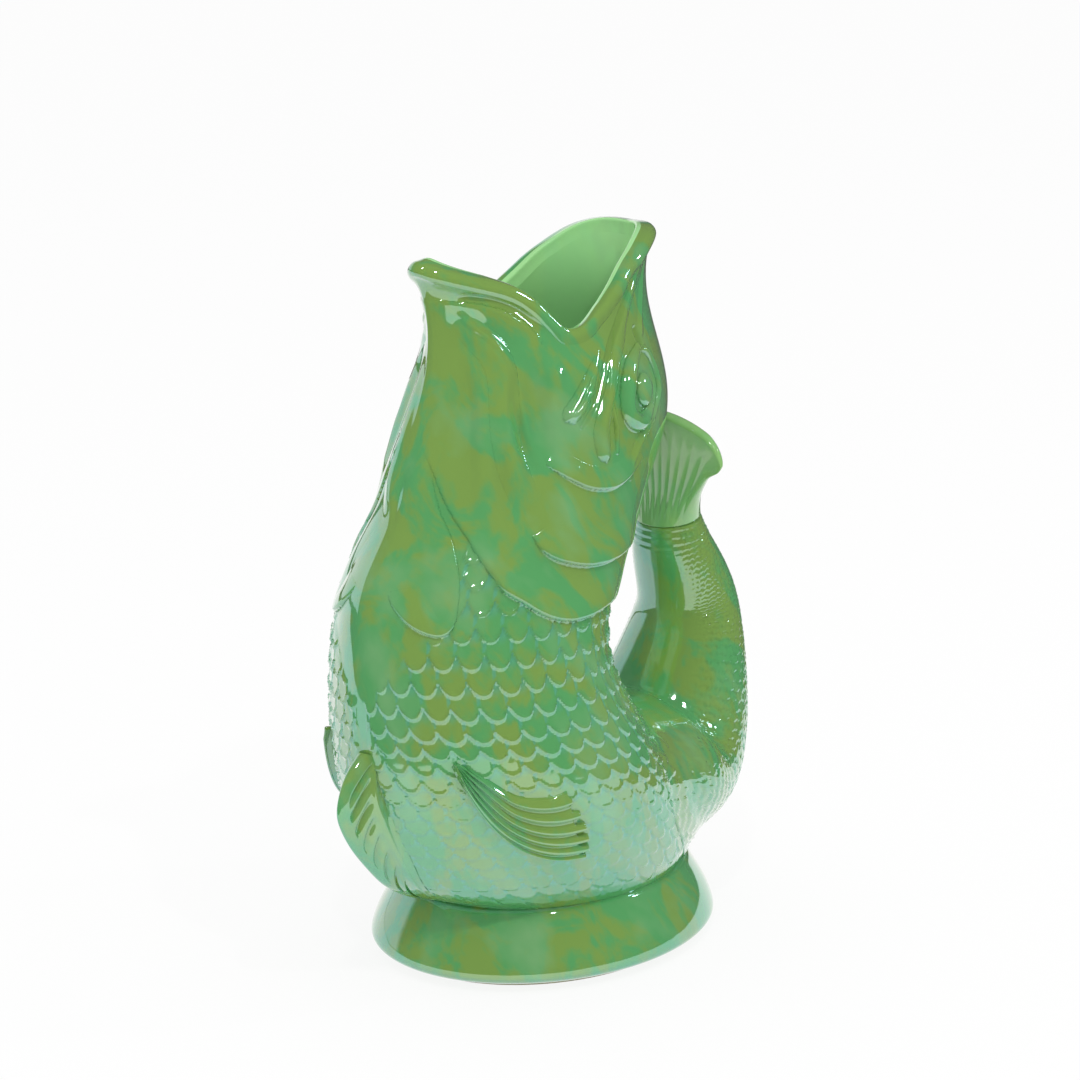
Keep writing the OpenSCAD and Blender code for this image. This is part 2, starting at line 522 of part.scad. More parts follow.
// Folds of the left side of the head, as [level share, angle] paths from top to bottom. Their
// widths are shares of the belly's length, as the angles between them are
jaw_width_share = 0.056;
cheek_width_share = 0.04;
cheek_back_width_share = 0.0175;
brow_width_share = 0.024;
jaw_shares = [[0.836, 87], [0.818, 82], [0.798, 77.5], [0.778, 73.5], [0.762, 70], [0.75, 67.5]];
module jaw_left() {
    color(glaze_pale)
        strap(jaw_shares, belly_length * jaw_width_share, [0.4, 0.55, 0.85, 1, 0.95, 0.5],
            fold_height * 1.25, [0.5, 0.85, 1, 1, 1, 0.6], steps = 17);
}
cheek_shares = [[0.89, 106], [0.856, 98], [0.82, 91.5], [0.788, 87], [0.758, 84.5], [0.73, 85.5],
    [0.71, 88.5]];
cheek_back_shares = [[0.754, 92], [0.738, 92.5], [0.72, 93.5], [0.706, 95]];
brow_shares = [[0.736, 121], [0.716, 114], [0.703, 108.5], [0.704, 104]];
module cheek_left() {
    color(glaze) {
        strap(cheek_shares, belly_length * cheek_width_share, [0.5, 0.7, 0.8, 0.85, 0.95, 1, 0.55],
            fold_height, [0.5, 0.9, 1, 1, 1, 1, 0.6], steps = 19);
        strap(cheek_back_shares, belly_length * cheek_back_width_share, [0.5, 1, 1, 0.6],
            fold_height * 0.8, [0.5, 1, 1, 0.6], steps = 8);
        strap(brow_shares, belly_length * brow_width_share, [0.5, 0.9, 1, 0.6],
            fold_height * 0.7, [0.5, 1, 1, 0.6], steps = 8);
    }
}
throat_shares = [[0.903, 25], [0.882, 31], [0.85, 39.5], [0.824, 45], [0.792, 52], [0.756, 57],
    [0.732, 59]];
module throat_left() {
    color(glaze)
        strap(throat_shares, fold_height * 1.3, [0.4, 0.8, 1, 1, 1, 0.9, 0.4],
            fold_height * 0.6, [0.4, 0.9, 1, 1, 1, 0.9, 0.4], steps = 14);
}
gular_shares = [[0.815, 11], [0.785, 13.5], [0.745, 17.5], [0.7, 19], [0.648, 17], [0.592, 18],
    [0.545, 20.5], [0.52, 27], [0.512, 36]];
module gular_left() {
    color(glaze_pale)
        strap(gular_shares, fold_height * 1.1, [0.4, 0.8, 1, 1, 1, 1, 1, 1, 0.5],
            fold_height * 0.7, [0.4, 0.8, 1, 1, 1, 1, 1, 1, 0.5], steps = 19);
}

// Eye of the left side: a rolled ring, and the ball that sits in it
eye_level_share = 0.778;
eye_angle = 107;
ball_level_share = 0.777;
ball_angle = 107.8;
function eye_point(level, angle, r, a, lift) =
    let(across = norm(skin(level, angle + 1) - skin(level, angle - 1)) / 2)
    lifted(level + r * cos(a) / level_height, angle + 0.86 * r * sin(a) / across, lift);
module ring_left() {
    lip_shares = [[0.56, 0.1], [0.62, 0.75], [0.74, 1], [0.9, 0.75], [1, 0.1], [0.85, 0], [0.7, 0]];
    columns = 24;
    rows = [for (j = [0 : columns - 1])
        [for (f = lip_shares) eye_point(eye_level_share, eye_angle, eye_radius * f[0], j * 360 / columns,
            slip_joint + fold_height * 1.1 * f[1])]];
    color(glaze_pale) rows_body(rows, looped = true, flip = true);
}
module ball_left() {
    ball_shares = [[0.1, 1], [0.45, 0.88], [0.75, 0.6], [0.95, 0.25], [0.9, 0], [0.4, 0]];
    columns = 18;
    rows = [for (f = ball_shares) [for (j = [0 : columns - 1])
        eye_point(ball_level_share, ball_angle, eye_radius * 0.44 * f[0], j * 360 / columns,
            slip_joint + fold_height * 1.15 * f[1])]];
    color(glaze_dark) rows_body(rows);
}

module pectoral_fin_left() { fin_left(); }
module pectoral_fin_right() { mirror([0, 1, 0]) fin_left(); }
module gill_covers_left() { gills_left(); }
module gill_covers_right() { mirror([0, 1, 0]) gills_left(); }
module jaw_lobe_left() { jaw_left(); }
module jaw_lobe_right() { mirror([0, 1, 0]) jaw_left(); }
module cheek_folds_left() { cheek_left(); }
module cheek_folds_right() { mirror([0, 1, 0]) cheek_left(); }
module throat_fold_left() { throat_left(); }
module throat_fold_right() { mirror([0, 1, 0]) throat_left(); }
module gular_fold_left() { gular_left(); }
module gular_fold_right() { mirror([0, 1, 0]) gular_left(); }
module eye_ring_left() { ring_left(); }
module eye_ring_right() { mirror([0, 1, 0]) ring_left(); }
module eyeball_left() { ball_left(); }
module eyeball_right() { mirror([0, 1, 0]) ball_left(); }

foot_ring();
foot();
belly_shell();
neck_shell();
head_shell();
mouth_rim();
lip_ridge();
tail_tube();
tail_fan();
ventral_fin();
pectoral_fin_left();
pectoral_fin_right();
gill_covers_left();
gill_covers_right();
jaw_lobe_left();
jaw_lobe_right();
cheek_folds_left();
cheek_folds_right();
throat_fold_left();
throat_fold_right();
gular_fold_left();
gular_fold_right();
eye_ring_left();
eye_ring_right();
eyeball_left();
eyeball_right();
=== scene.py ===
import math

import bpy
import numpy as np
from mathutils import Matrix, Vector


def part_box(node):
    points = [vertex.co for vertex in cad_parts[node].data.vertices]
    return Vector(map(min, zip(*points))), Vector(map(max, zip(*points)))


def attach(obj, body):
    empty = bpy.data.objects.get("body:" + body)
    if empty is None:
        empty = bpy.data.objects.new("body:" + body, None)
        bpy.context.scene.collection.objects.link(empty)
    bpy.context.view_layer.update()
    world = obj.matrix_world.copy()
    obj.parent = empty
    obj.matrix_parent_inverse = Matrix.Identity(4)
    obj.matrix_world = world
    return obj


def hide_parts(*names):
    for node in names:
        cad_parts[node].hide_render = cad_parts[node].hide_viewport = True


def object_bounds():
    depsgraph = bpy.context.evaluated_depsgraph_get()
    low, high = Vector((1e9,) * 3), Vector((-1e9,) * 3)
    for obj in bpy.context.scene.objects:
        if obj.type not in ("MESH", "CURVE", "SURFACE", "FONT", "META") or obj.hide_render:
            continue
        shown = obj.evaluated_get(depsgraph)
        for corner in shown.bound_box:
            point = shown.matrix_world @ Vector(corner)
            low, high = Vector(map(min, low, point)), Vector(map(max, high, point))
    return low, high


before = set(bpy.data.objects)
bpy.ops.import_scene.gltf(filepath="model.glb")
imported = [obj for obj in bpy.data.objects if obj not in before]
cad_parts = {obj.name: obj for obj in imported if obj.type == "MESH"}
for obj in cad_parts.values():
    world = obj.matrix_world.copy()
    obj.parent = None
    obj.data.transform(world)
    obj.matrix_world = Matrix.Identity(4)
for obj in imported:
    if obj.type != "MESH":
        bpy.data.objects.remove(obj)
cad_low, cad_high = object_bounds()

# The jug's own sizes are in millimetres, in the frame's axes: the fish looks along -x.
mm = 0.001

# Camera: a long lens that looks at the fish's left side and front, a little from above.
# The jug stands low and to the right of the middle of the picture, so the lens is shifted.
view_azimuth = math.radians(-48)
view_height = math.radians(16)
aim = Vector((0.0024, 0, 0.12))
distance = 1.182
towards_camera = Vector((
    math.sin(view_azimuth) * math.cos(view_height),
    -math.cos(view_azimuth) * math.cos(view_height),
    math.sin(view_height)))
bpy.ops.object.camera_add(location=aim + towards_camera * distance)
camera = bpy.context.object
camera.rotation_euler = towards_camera.to_track_quat("Z", "Y").to_euler()
camera.data.sensor_width = 36
camera.data.lens = 116.3
camera.data.shift_x = -0.0037
camera.data.shift_y = 0.0528
bpy.context.scene.camera = camera
bpy.context.scene.view_settings.view_transform = "Standard"

# Studio: a white floor that runs out of sight with a white sheet on it. The glaze mirrors only
# the sheet and a white screen behind the fish's right side; the rest of the room looks dark in
# it, but for three small lamps that make the highlights.
floor_size = 6
floor_level = -0.0004
sheet_corners = [(-0.27, -0.35), (0.3, -0.35), (-0.27, 1.6), (0.9, 1.6)]
matt_white = (0.95, 0.95, 0.95, 1)
seen_glow = 0.88
room_glow = 0.85
screen_direction = (0.2, 0.975, -0.1)
screen_from, screen_full = 0.72, 0.8
dark_glow, screen_glow = 0.1, 0.9

bpy.ops.mesh.primitive_plane_add(size=floor_size, location=(0, 0, floor_level))
floor = bpy.context.object
floor.name = "studio_floor"
bpy.ops.mesh.primitive_plane_add(size=1)
sheet = bpy.context.object
sheet.name = "white_sheet"
for corner, place in zip(sheet.data.vertices, sheet_corners):
    corner.co = (*place, 0)


def new_material(name):
    """A material with its node tree and its shader."""
    material = bpy.data.materials.new(name)
    material.use_nodes = True
    return material, material.node_tree, material.node_tree.nodes["Principled BSDF"]


def connect(tree, node, inputs):
    """Sets each of these inputs of a node to a value, or joins it to the socket that feeds it."""
    for name, value in inputs.items():
        if isinstance(value, bpy.types.NodeSocket):
            tree.links.new(value, node.inputs[name])
        else:
            node.inputs[name].default_value = value


def add_node(tree, kind, inputs=None, **settings):
    """A shader node with its settings and its inputs."""
    node = tree.nodes.new("ShaderNode" + kind)
    for name, value in settings.items():
        setattr(node, name, value)
    connect(tree, node, inputs or {})
    return node


def white_to_camera(name, mirrored_glow):
    """A matt surface that the camera sees nearly white, shadows included, and reflections as
    bright as the last number says."""
    material, tree, shader = new_material(name)
    connect(tree, shader, {"Base Color": matt_white, "Roughness": 0.9, "Specular IOR Level": 0.1})
    ray = add_node(tree, "LightPath").outputs
    share = add_node(tree, "Math", {0: ray["Is Camera Ray"], 1: seen_glow}, operation="MULTIPLY")
    seen = add_node(tree, "Math", {0: share.outputs[0], 1: ray["Is Glossy Ray"]}, operation="MAXIMUM")
    bright = add_node(tree, "Mix", {"Factor": ray["Is Glossy Ray"], "A": 1, "B": mirrored_glow})
    light = add_node(tree, "Emission", {"Strength": bright.outputs["Result"]})
    mix = add_node(tree, "MixShader", {0: seen.outputs[0], 1: shader.outputs[0], 2: light.outputs[0]})
    connect(tree, tree.nodes["Material Output"], {"Surface": mix.outputs[0]})
    return material


floor.data.materials.append(white_to_camera("white_floor", dark_glow))
sheet.data.materials.append(white_to_camera("white_paper", 1.0))

world = bpy.data.worlds.new("white_room")
bpy.context.scene.world = world
world.use_nodes = True
room = world.node_tree
room.nodes.clear()
direction = add_node(room, "TexCoord")
facing = add_node(room, "VectorMath", {0: direction.outputs["Generated"], 1: screen_direction},
                  operation="DOT_PRODUCT")
screen = add_node(room, "MapRange", {
    "Value": facing.outputs["Value"], "From Min": screen_from, "From Max": screen_full,
    "To Min": dark_glow, "To Max": screen_glow}, interpolation_type="SMOOTHSTEP")
room_ray = add_node(room, "LightPath").outputs
mirrored_room = add_node(room, "Mix", {
    "Factor": room_ray["Is Glossy Ray"], "A": room_glow, "B": screen.outputs["Result"]})
seen_room = add_node(room, "Mix", {
    "Factor": room_ray["Is Camera Ray"], "A": mirrored_room.outputs["Result"], "B": 1.0})
background = add_node(room, "Background", {
    "Color": (1, 1, 1, 1), "Strength": seen_room.outputs["Result"]})
add_node(room, "OutputWorld", {"Surface": background.outputs[0]})


def lamp(name, place, width, height, watts):
    """An area lamp that shines at the middle of the jug."""
    bpy.ops.object.light_add(type="AREA", location=place)
    light = bpy.context.object
    light.name = name
    light.data.shape = "RECTANGLE"
    light.data.size = width
    light.data.size_y = height
    light.data.energy = watts
    light.rotation_euler = (light.location - aim).to_track_quat("Z", "Y").to_euler()


lamp("small_lamp_left", (-0.75, -0.62, 1.5), width=0.08, height=0.14, watts=4)
lamp("small_lamp_right", (-0.2, -1.05, 1.45), width=0.05, height=0.06, watts=3)
lamp("small_lamp_back", (1.0, -0.9, 0.9), width=0.08, height=0.14, watts=1.5)

# Belly: the lower casting of the fish, slip-cast earthenware with a 4.5 mm wall. One plaster
# mould shapes belly, neck and head, so the outline and the carved lines are defined here.
# Its scales overlap downwards, and the tail is luted to its back.
wall = 4.5
lip_top_share = 0.976
level_height = cad_high.z / mm / lip_top_share
ring_low, ring_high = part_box("foot_ring")
foot_x = (ring_low.x + ring_high.x) / 2 / mm
belly_width = 107
belly_reach = 90
foot_top = 26
neck_level = 135
head_level = 185
levels = level_height * np.array(
    [0.104, 0.128, 0.168, 0.248, 0.344, 0.44, 0.52, 0.572, 0.632, 0.688, 0.76, 0.82, 0.888, 1])
front_reach = belly_reach * np.array(
    [0.595, 0.733, 0.835, 0.918, 0.963, 0.983, 0.967, 0.92, 0.811, 0.76, 0.68, 0.62, 0.608, 0.7])
back_reach = belly_reach * np.array(
    [0.595, 0.615, 0.589, 0.422, 0.2, 0.044, 0.1, 0.256, 0.378, 0.511, 0.567, 0.528, 0.483, 0.533])
half_width = belly_width * np.array(
    [0.411, 0.435, 0.467, 0.5, 0.486, 0.439, 0.409, 0.386, 0.363, 0.339, 0.31, 0.275, 0.228, 0.21])
widest_at = belly_reach * np.array(
    [0, -0.022, -0.078, -0.178, -0.278, -0.333, -0.289, -0.222, -0.156, -0.1,
     -0.044, -0.011, 0.028, 0.056])
keel_power = np.array(
    [2, 1.9, 1.8, 1.75, 1.75, 1.75, 1.75, 1.72, 1.7, 1.68, 1.63, 1.55, 1.5, 2.1])
keel_round = 5
shell_columns = 600


def through(places, values, at):
    """A smooth curve through the values, with even curvature, read at the given places."""
    places = np.asarray(places, float)
    values = np.asarray(values, float)
    gaps = np.diff(places)
    slopes = np.diff(values) / gaps
    count = len(places)
    matrix = np.eye(count)
    bends = np.zeros(count)
    for i in range(1, count - 1):
        matrix[i, i - 1:i + 2] = (gaps[i - 1], 2 * (gaps[i - 1] + gaps[i]), gaps[i])
        bends[i] = 3 * (slopes[i] - slopes[i - 1])
    bends = np.linalg.solve(matrix, bends)
    i = np.clip(np.searchsorted(places, at, side="right") - 1, 0, count - 2)
    run = at - places[i]
    first = slopes[i] - gaps[i] * (2 * bends[i] + bends[i + 1]) / 3
    third = (bends[i + 1] - bends[i]) / (3 * gaps[i])
    return values[i] + first * run + bends[i] * run**2 + third * run**3


def evenly(values, at):
    """The same through values that are spread evenly from 0 to 1."""
    return through(np.linspace(0, 1, len(values)), values, at)


def along_path(path, at):
    """The coordinates of a smooth line through points, at shares of its way."""
    return [evenly(column, at) for column in zip(*path)]


def unit(vectors):
    """The vectors, made 1 long."""
    return vectors / np.linalg.norm(vectors, axis=-1, keepdims=True)


def ease(low, high, at):
    """0 below low, 1 above high, and a soft step between them."""
    share = np.clip((at - low) / (high - low), 0, 1)
    return share * share * (3 - 2 * share)


def mirrored_angle(angle):
    """The angle from the front, the same on both sides of the fish."""
    return np.abs((angle + 180) % 360 - 180)


def body_skin(z, angle, inset=0.0):
    """The plain skin: angle 0 is the front, 90 the fish's left side, 180 the back."""
    z, angle = np.broadcast_arrays(np.asarray(z, float), np.asarray(angle, float))
    turn = np.radians(angle)
    cosine = np.cos(turn)
    sine = np.sin(turn)
    size = np.abs(cosine)
    sharpness = 1 - np.exp(-((mirrored_angle(angle) / keel_round) ** 2))
    front_power = 2 + (through(levels, keel_power, z) - 2) * (1 - (1 - size) ** 2) * sharpness
    power = np.where(cosine > 0, front_power, 2.0)
    middle = through(levels, widest_at, z)
    ahead = through(levels, front_reach, z) + middle
    behind = through(levels, back_reach, z) - middle
    reach = np.where(cosine > 0, ahead, behind) - inset
    x = foot_x + middle - np.sign(cosine) * reach * size ** (2 / power)
    y = -(through(levels, half_width, z) - inset) * np.sign(sine) * np.abs(sine) ** (2 / power)
    return np.stack([x, y, z], -1)


def body_normal(z, angle):
    """The direction straight out of the plain skin."""
    turn, rise = 0.7, 0.5
    around = body_skin(z, angle + turn) - body_skin(z, angle - turn)
    upward = body_skin(z + rise, angle) - body_skin(z - rise, angle)
    return unit(np.cross(around, upward))


def stroke(z, angle, path, width, height, left=1.0, right=1.0, widths=(1, 1), heights=(1, 1),
           softness=2.0):
    """Height that a line of clay along a path of (level, angle) points adds to the skin.

    Left is the side on the left hand when the line is followed with the skin underfoot. Left and
    right are shares of the width there. Softness 2 fades into the skin, 0.6 gives a round roll."""
    count = 90
    steps = np.linspace(0, 1, count)
    line_z, line_angle = along_path(path, steps)
    line = body_skin(line_z, line_angle)
    tangent = unit(np.gradient(line, axis=0))
    side_way = np.cross(body_normal(line_z, line_angle), tangent)
    # Only the points that the line may reach are worked on.
    reach = width * max(left, right) * max(widths)
    reach_angle = 2.2 * reach + 2
    off_front = mirrored_angle(angle)
    near = (z > line_z.min() - reach) & (z < line_z.max() + reach)
    near &= (off_front > line_angle.min() - reach_angle) & (off_front < line_angle.max() + reach_angle)
    added = np.zeros(np.shape(z))
    if not near.any():
        return added
    points = body_skin(z[near], off_front[near])
    gap = (points**2).sum(1)[:, None] + (line**2).sum(1)[None] - 2 * points @ line.T
    nearest = gap.argmin(1)
    offset = points - line[nearest]
    along = (offset * tangent[nearest]).sum(1)
    step = np.linalg.norm(np.diff(line, axis=0), axis=1).mean()
    share = np.clip((nearest + along / step) / (count - 1), 0, 1)
    beyond = np.where((nearest == 0) | (nearest == count - 1), np.maximum(np.abs(along) - step, 0), 0)
    across = offset - along[:, None] * tangent[nearest]
    distance_off = np.hypot(np.linalg.norm(across, axis=1), beyond)
    side = np.where((across * side_way[nearest]).sum(1) > 0, left, right)
    local_width = width * np.interp(share, np.linspace(0, 1, len(widths)), widths)
    far = np.clip(distance_off / (local_width * side), 0, 1)
    local_height = height * np.interp(share, np.linspace(0, 1, len(heights)), heights)
    added[near] = local_height * (1 - far**2) ** softness
    return added


row_shift = 0.35
scale_slope = 0.5
bead_height, bead_place, bead_width = 0.5, 0.09, 0.06
groove_depth, groove_width = 0.45, 0.07


def scale_pattern(across, along, arc=0.6, edge_width=0.08):
    """Height of overlapping scales, one cell a unit, whose free edges point along: a plate that
    rises to a beaded edge, with a groove on each side."""
    row = np.floor(along)

    def one_row(i):
        share = (across - row_shift * i) % 1
        free_edge = i + arc * (1 - np.abs(2 * share**1.25 - 1) ** 2.7)
        above = free_edge - along
        plate = scale_slope * (1 - above / (1 + arc))
        bead = bead_height * np.exp(-(((above - bead_place) / bead_width) ** 2))
        side = np.minimum(share, 1 - share)
        groove = groove_depth * np.exp(-((side / groove_width) ** 2))
        return plate + bead - groove, ease(-0.5, 0.5, above / edge_width)

    height, _ = one_row(row + 2)
    for i in (row + 1, row, row - 1):
        upper, cover = one_row(i)
        height = height + (upper - height) * cover
    return np.maximum(height, 0)


def wavy(z, angle, seed):
    """A slow, hand-made unevenness between -1 and 1."""
    turn = np.radians(angle)
    return 0.5 * (np.sin(0.11 * z + 3 * turn + seed) + np.sin(0.07 * z - 5 * turn + 2.1 * seed))


scale_columns = 40
scale_height = 1.2
scale_levels = [20, 40, 56, 74, 95, 120, 150, 180]
scale_rows = [25.6, 21, 17.3, 13.6, 10.2, 7.1, 3.4, 0]
scaled_angles = [0, 8, 14, 22, 30, 36, 38, 46, 58, 69, 79, 94, 120, 180]
scaled_up_to = [102, 105, 111, 119, 126, 127, 160, 150, 142, 135, 131, 128, 126, 124]
saddle_x = foot_x + 36
saddle_z = 108
saddle_row = 8.6
rows_a_degree = 0.155


def scale_field(z, angle):
    """Height of the scales of belly and throat, and how strongly they show, 0 to 1. Their rows
    lie level, and turn round the saddle towards the tail at the back."""
    off_front = mirrored_angle(angle)
    point = body_skin(z, off_front)
    level_row = np.interp(z, scale_levels, scale_rows)
    bend = np.degrees(np.arctan2(saddle_z - z, np.maximum(saddle_x - point[..., 0], -200)))
    turned_row = saddle_row + rows_a_degree * np.clip(bend, -60, 180)
    towards_tail = ease(foot_x - 14, foot_x + 42, point[..., 0]) * ease(112, 84, z)
    row = level_row + (turned_row - level_row) * towards_tail + 0.1 * wavy(z, off_front, 4.0)
    column = off_front / 360 * scale_columns + 0.08 * wavy(z, off_front, 1.0)
    upper = np.interp(off_front, scaled_angles, scaled_up_to)
    shown = ease(upper + 3, upper - 3, z) * ease(foot_top + 1, foot_top + 7, z)
    shown = shown * ease(1.5, 5, off_front)
    return scale_pattern(column, row), shown


def body_scales(z, angle):
    """Height of the scales above the skin, less near the foot where they are small."""
    height, shown = scale_field(z, angle)
    return scale_height * (0.55 + 0.45 * ease(40, 90, z)) * shown * height


def lip_overhang(angle):
    """Overhang of the rolled lip outside the wall."""
    return np.interp(mirrored_angle(angle), [0, 25, 45, 58, 70, 84, 97, 120, 150, 180],
                     [2.6, 2.3, 1.7, 0.9, 0.35, 0.35, 0.8, 1.6, 2.3, 2.6])


rim_angles = [
    -12, 0, 12, 22, 33, 43, 51, 57, 62, 67, 71, 75, 81, 89, 101, 110, 120, 130, 142, 156, 180, 204]
rim_levels = level_height * np.array(
    [0.971, 0.976, 0.971, 0.963, 0.953, 0.941, 0.927, 0.9095, 0.892, 0.877, 0.8715, 0.8715, 0.878,
     0.895, 0.919, 0.937, 0.951, 0.963, 0.972, 0.976, 0.975, 0.976])
lip_height = 5
steepest_lip = 1.3


def rim_at(angle):
    """Level of the mouth's edge."""
    return through(rim_angles, rim_levels, mirrored_angle(angle))


def seat_at(angle):
    """Level of the wall's top edge, on which the rolled lip sits."""
    before = body_skin(rim_at(angle - 2), angle - 2)
    after = body_skin(rim_at(angle + 2), angle + 2)
    chord = after - before
    slope = np.linalg.norm(chord, axis=-1) / np.maximum(np.hypot(chord[..., 0], chord[..., 1]), 0.001)
    return rim_at(angle) - lip_height * np.minimum(steepest_lip, slope)


swell_share, swell_depth, swell_from = 0.75, 2.3, 200
# Lines in the mould. A negative height is a groove.
carved_lines = [
    dict(path=[(231.5, 24), (231.5, 30), (230.5, 37), (228, 45), (223, 53), (217, 58)],
         width=1.9, height=-1.2, heights=(0, 0.8, 1, 1, 0.9, 0)),
    dict(path=[(234, 122), (229, 113), (223.5, 105), (216.5, 97.5), (210.5, 91.5),
               (200.5, 85.5), (193.5, 81.5), (188, 76)],
         width=1.5, height=-1.2, heights=(0, 0.7, 1, 1, 1, 1, 1, 0.6)),
    dict(path=[(230, 120), (225, 112), (219, 104.5), (212, 98)], width=3.6, height=0.7,
         left=0.7, right=1.2, heights=(0.1, 1, 1, 0.1)),
    dict(path=[(215.5, 27), (207.5, 31), (198.5, 34.5), (186, 37), (174, 39.5), (158, 42)],
         width=6.5, height=2.4, left=1, right=0.8, heights=(0, 0.8, 1, 1, 0.8, 0)),
    dict(path=[(227, 24), (222.5, 28), (217.5, 36), (213, 41), (209, 44), (204, 48)],
         width=1.6, height=0.7, heights=(0, 1, 1, 1, 0.7, 0)),
    dict(path=[(215, 19), (200, 16.5), (186.5, 14), (174.5, 12), (166, 8.5), (159, 4)],
         width=5, height=1.0, heights=(0, 0.8, 1, 1, 1, 0)),
    dict(path=[(208, 60), (204, 63), (200, 65)], width=4.2, height=1.1, heights=(0.2, 1, 0.2)),
    dict(path=[(213, 112), (208, 114.5)], width=2.0, height=-1.6),
    dict(path=[(212, 117), (222, 124), (233, 133)], width=2.2, height=0.8, heights=(0.6, 1, 0.3)),
    dict(path=[(212, 50), (200, 54), (188, 58), (178, 61)], width=6.5, height=-2.1,
         heights=(0, 1, 1, 0)),
    dict(path=[(206, 44), (194, 47), (184, 52), (174, 58)], width=3.6, height=-1.7,
         heights=(0, 1, 1, 0)),
]


def strokes(*lines):
    """The height of a relief that is drawn as some lines of clay, the highest of them."""
    return lambda z, angle: np.max([stroke(z, angle, **line) for line in lines], axis=0)


ridge_height = strokes(
    dict(path=[(229, 0), (229.5, 12), (229, 22), (228, 31), (226, 40), (222, 48), (216, 56)],
         width=2.9, height=1.2, left=0.6, right=3.0, heights=(0.1, 0.25, 0.5, 0.85, 1, 1, 0.1)))
gill_height = strokes(
    dict(path=[(178, 61), (174.5, 67), (171, 74), (168, 82), (166.5, 93), (168.5, 103), (173, 113)],
         width=8, height=1.7, right=0.16, heights=(0, 0.7, 1, 1, 1, 0.7, 0)),
    dict(path=[(156.5, 59.5), (151, 65), (147.5, 72), (145.5, 79), (144, 88), (144, 101),
               (145.5, 116), (149, 128)],
         width=13, height=2.3, right=0.1, heights=(0, 0.7, 1, 1, 1, 1, 0.7, 0)),
    dict(path=[(184, 12), (178.5, 18.5), (171, 24.5), (164, 30), (158, 36), (152, 42),
               (146, 48.5), (140.5, 54), (136.5, 61), (132.5, 68), (129.5, 76), (128.5, 85),
               (129.5, 96), (130.5, 109), (132, 125), (134, 140)],
         width=15, height=2.4, right=0.1,
         heights=(0, 0.25, 0.35, 0.4, 0.45, 0.55, 0.8, 1, 1, 1, 1, 1, 1, 0.9, 0.6, 0)))
gular_height = strokes(
    dict(path=[(180, 15), (172, 19), (164, 23.5), (157, 29.5), (150, 34.5), (143, 38), (135, 39),
               (129.5, 37.5), (128, 33.5), (129.5, 28), (132, 23), (136.5, 17), (141, 13)],
         width=12, height=1.7, left=0.12,
         heights=(0, 0.3, 0.35, 0.4, 0.45, 0.5, 0.6, 0.9, 1, 1, 0.9, 0.5, 0)))
throat_height = strokes(
    dict(path=[(226, 26), (220, 30), (213, 37), (205, 41), (194, 43), (184, 46), (174, 51),
               (163, 57)],
         width=6, height=2.8, heights=(0.1, 0.6, 0.9, 1, 1, 1, 0.7, 0)))
lobe_drop = strokes(
    dict(path=[(209, 85), (203.5, 81), (198, 77), (194, 73.5), (191.5, 70.5)], width=4.2,
         height=2.4, left=0.8, widths=(0.3, 0.65, 0.9, 1, 0.95), heights=(0.1, 0.6, 0.95, 1, 1),
         softness=1.2))
lobe_groove = strokes(
    dict(path=[(204, 80.5), (198, 76), (192.5, 71)], width=0.9, height=0.9, heights=(0.3, 1, 0.5)))
least_clay = 0.04


def jaw_height(z, angle):
    """The lobe, whose groove doesn't cut through it."""
    drop = lobe_drop(z, angle)
    return np.where(drop > 0.05, np.maximum(drop - lobe_groove(z, angle), least_clay), drop)


cheek_height = strokes(
    dict(path=[(224, 106), (214, 99.5), (206, 94), (198, 90), (190, 86.2), (184, 85), (178.5, 86.5)],
         width=4.4, height=2.2, right=0.8, widths=(0.8, 0.8, 0.75, 0.75, 0.9, 1.1, 0.95),
         heights=(0, 0.25, 0.5, 0.8, 1, 1, 0.9), softness=1.3),
    dict(path=[(191, 91), (185, 92.5), (177, 94)], width=1.4, height=1.3, heights=(0.3, 1, 0.3)),
    dict(path=[(184, 117), (179, 109), (174, 104.5), (168, 104)], width=2.6, height=1.5,
         heights=(0.3, 1, 1, 0.2)))
eye_ring_height = strokes(
    dict(path=[(207, 110.5), (203, 103.5), (197.5, 99.5), (191, 98), (186, 101.5), (184.5, 108),
               (187.5, 113.5)],
         width=3.8, height=3.4, widths=(0.6, 0.9, 1, 1, 1, 0.9, 0.6), softness=0.8,
         heights=(0.3, 0.8, 1, 1, 1, 0.9, 0.5)),
    dict(path=[(207.5, 111), (205.5, 117), (199, 122), (191.5, 122.5), (184, 117.5)],
         width=1.7, height=1.5, heights=(0.4, 1, 1, 1, 0.4), softness=1.0))
eye_level, eye_angle = 194, 110
ball_high, ball_long, ball_proud = 5.6, 5.0, 2.7


def per_degree(level, angle):
    """Length of the skin that one degree spans, in millimetres."""
    return np.linalg.norm(body_skin(level, angle + 1.0) - body_skin(level, angle - 1.0)) / 2


def ball_height(z, angle):
    """A dome with an oval edge."""
    behind = (mirrored_angle(angle) - eye_angle) * per_degree(eye_level, eye_angle)
    off = np.hypot((z - eye_level) / ball_high, behind / ball_long)
    return ball_proud * np.sqrt(np.clip(1 - off**2, 0, 1))


def pressed_height(z, angle):
    """Height of the reliefs that are luted on; the skin under them takes part in their shape."""
    return np.max([height(z, angle) for height in (
        ridge_height, gill_height, gular_height, throat_height, jaw_height, cheek_height,
        eye_ring_height, ball_height)], axis=0)


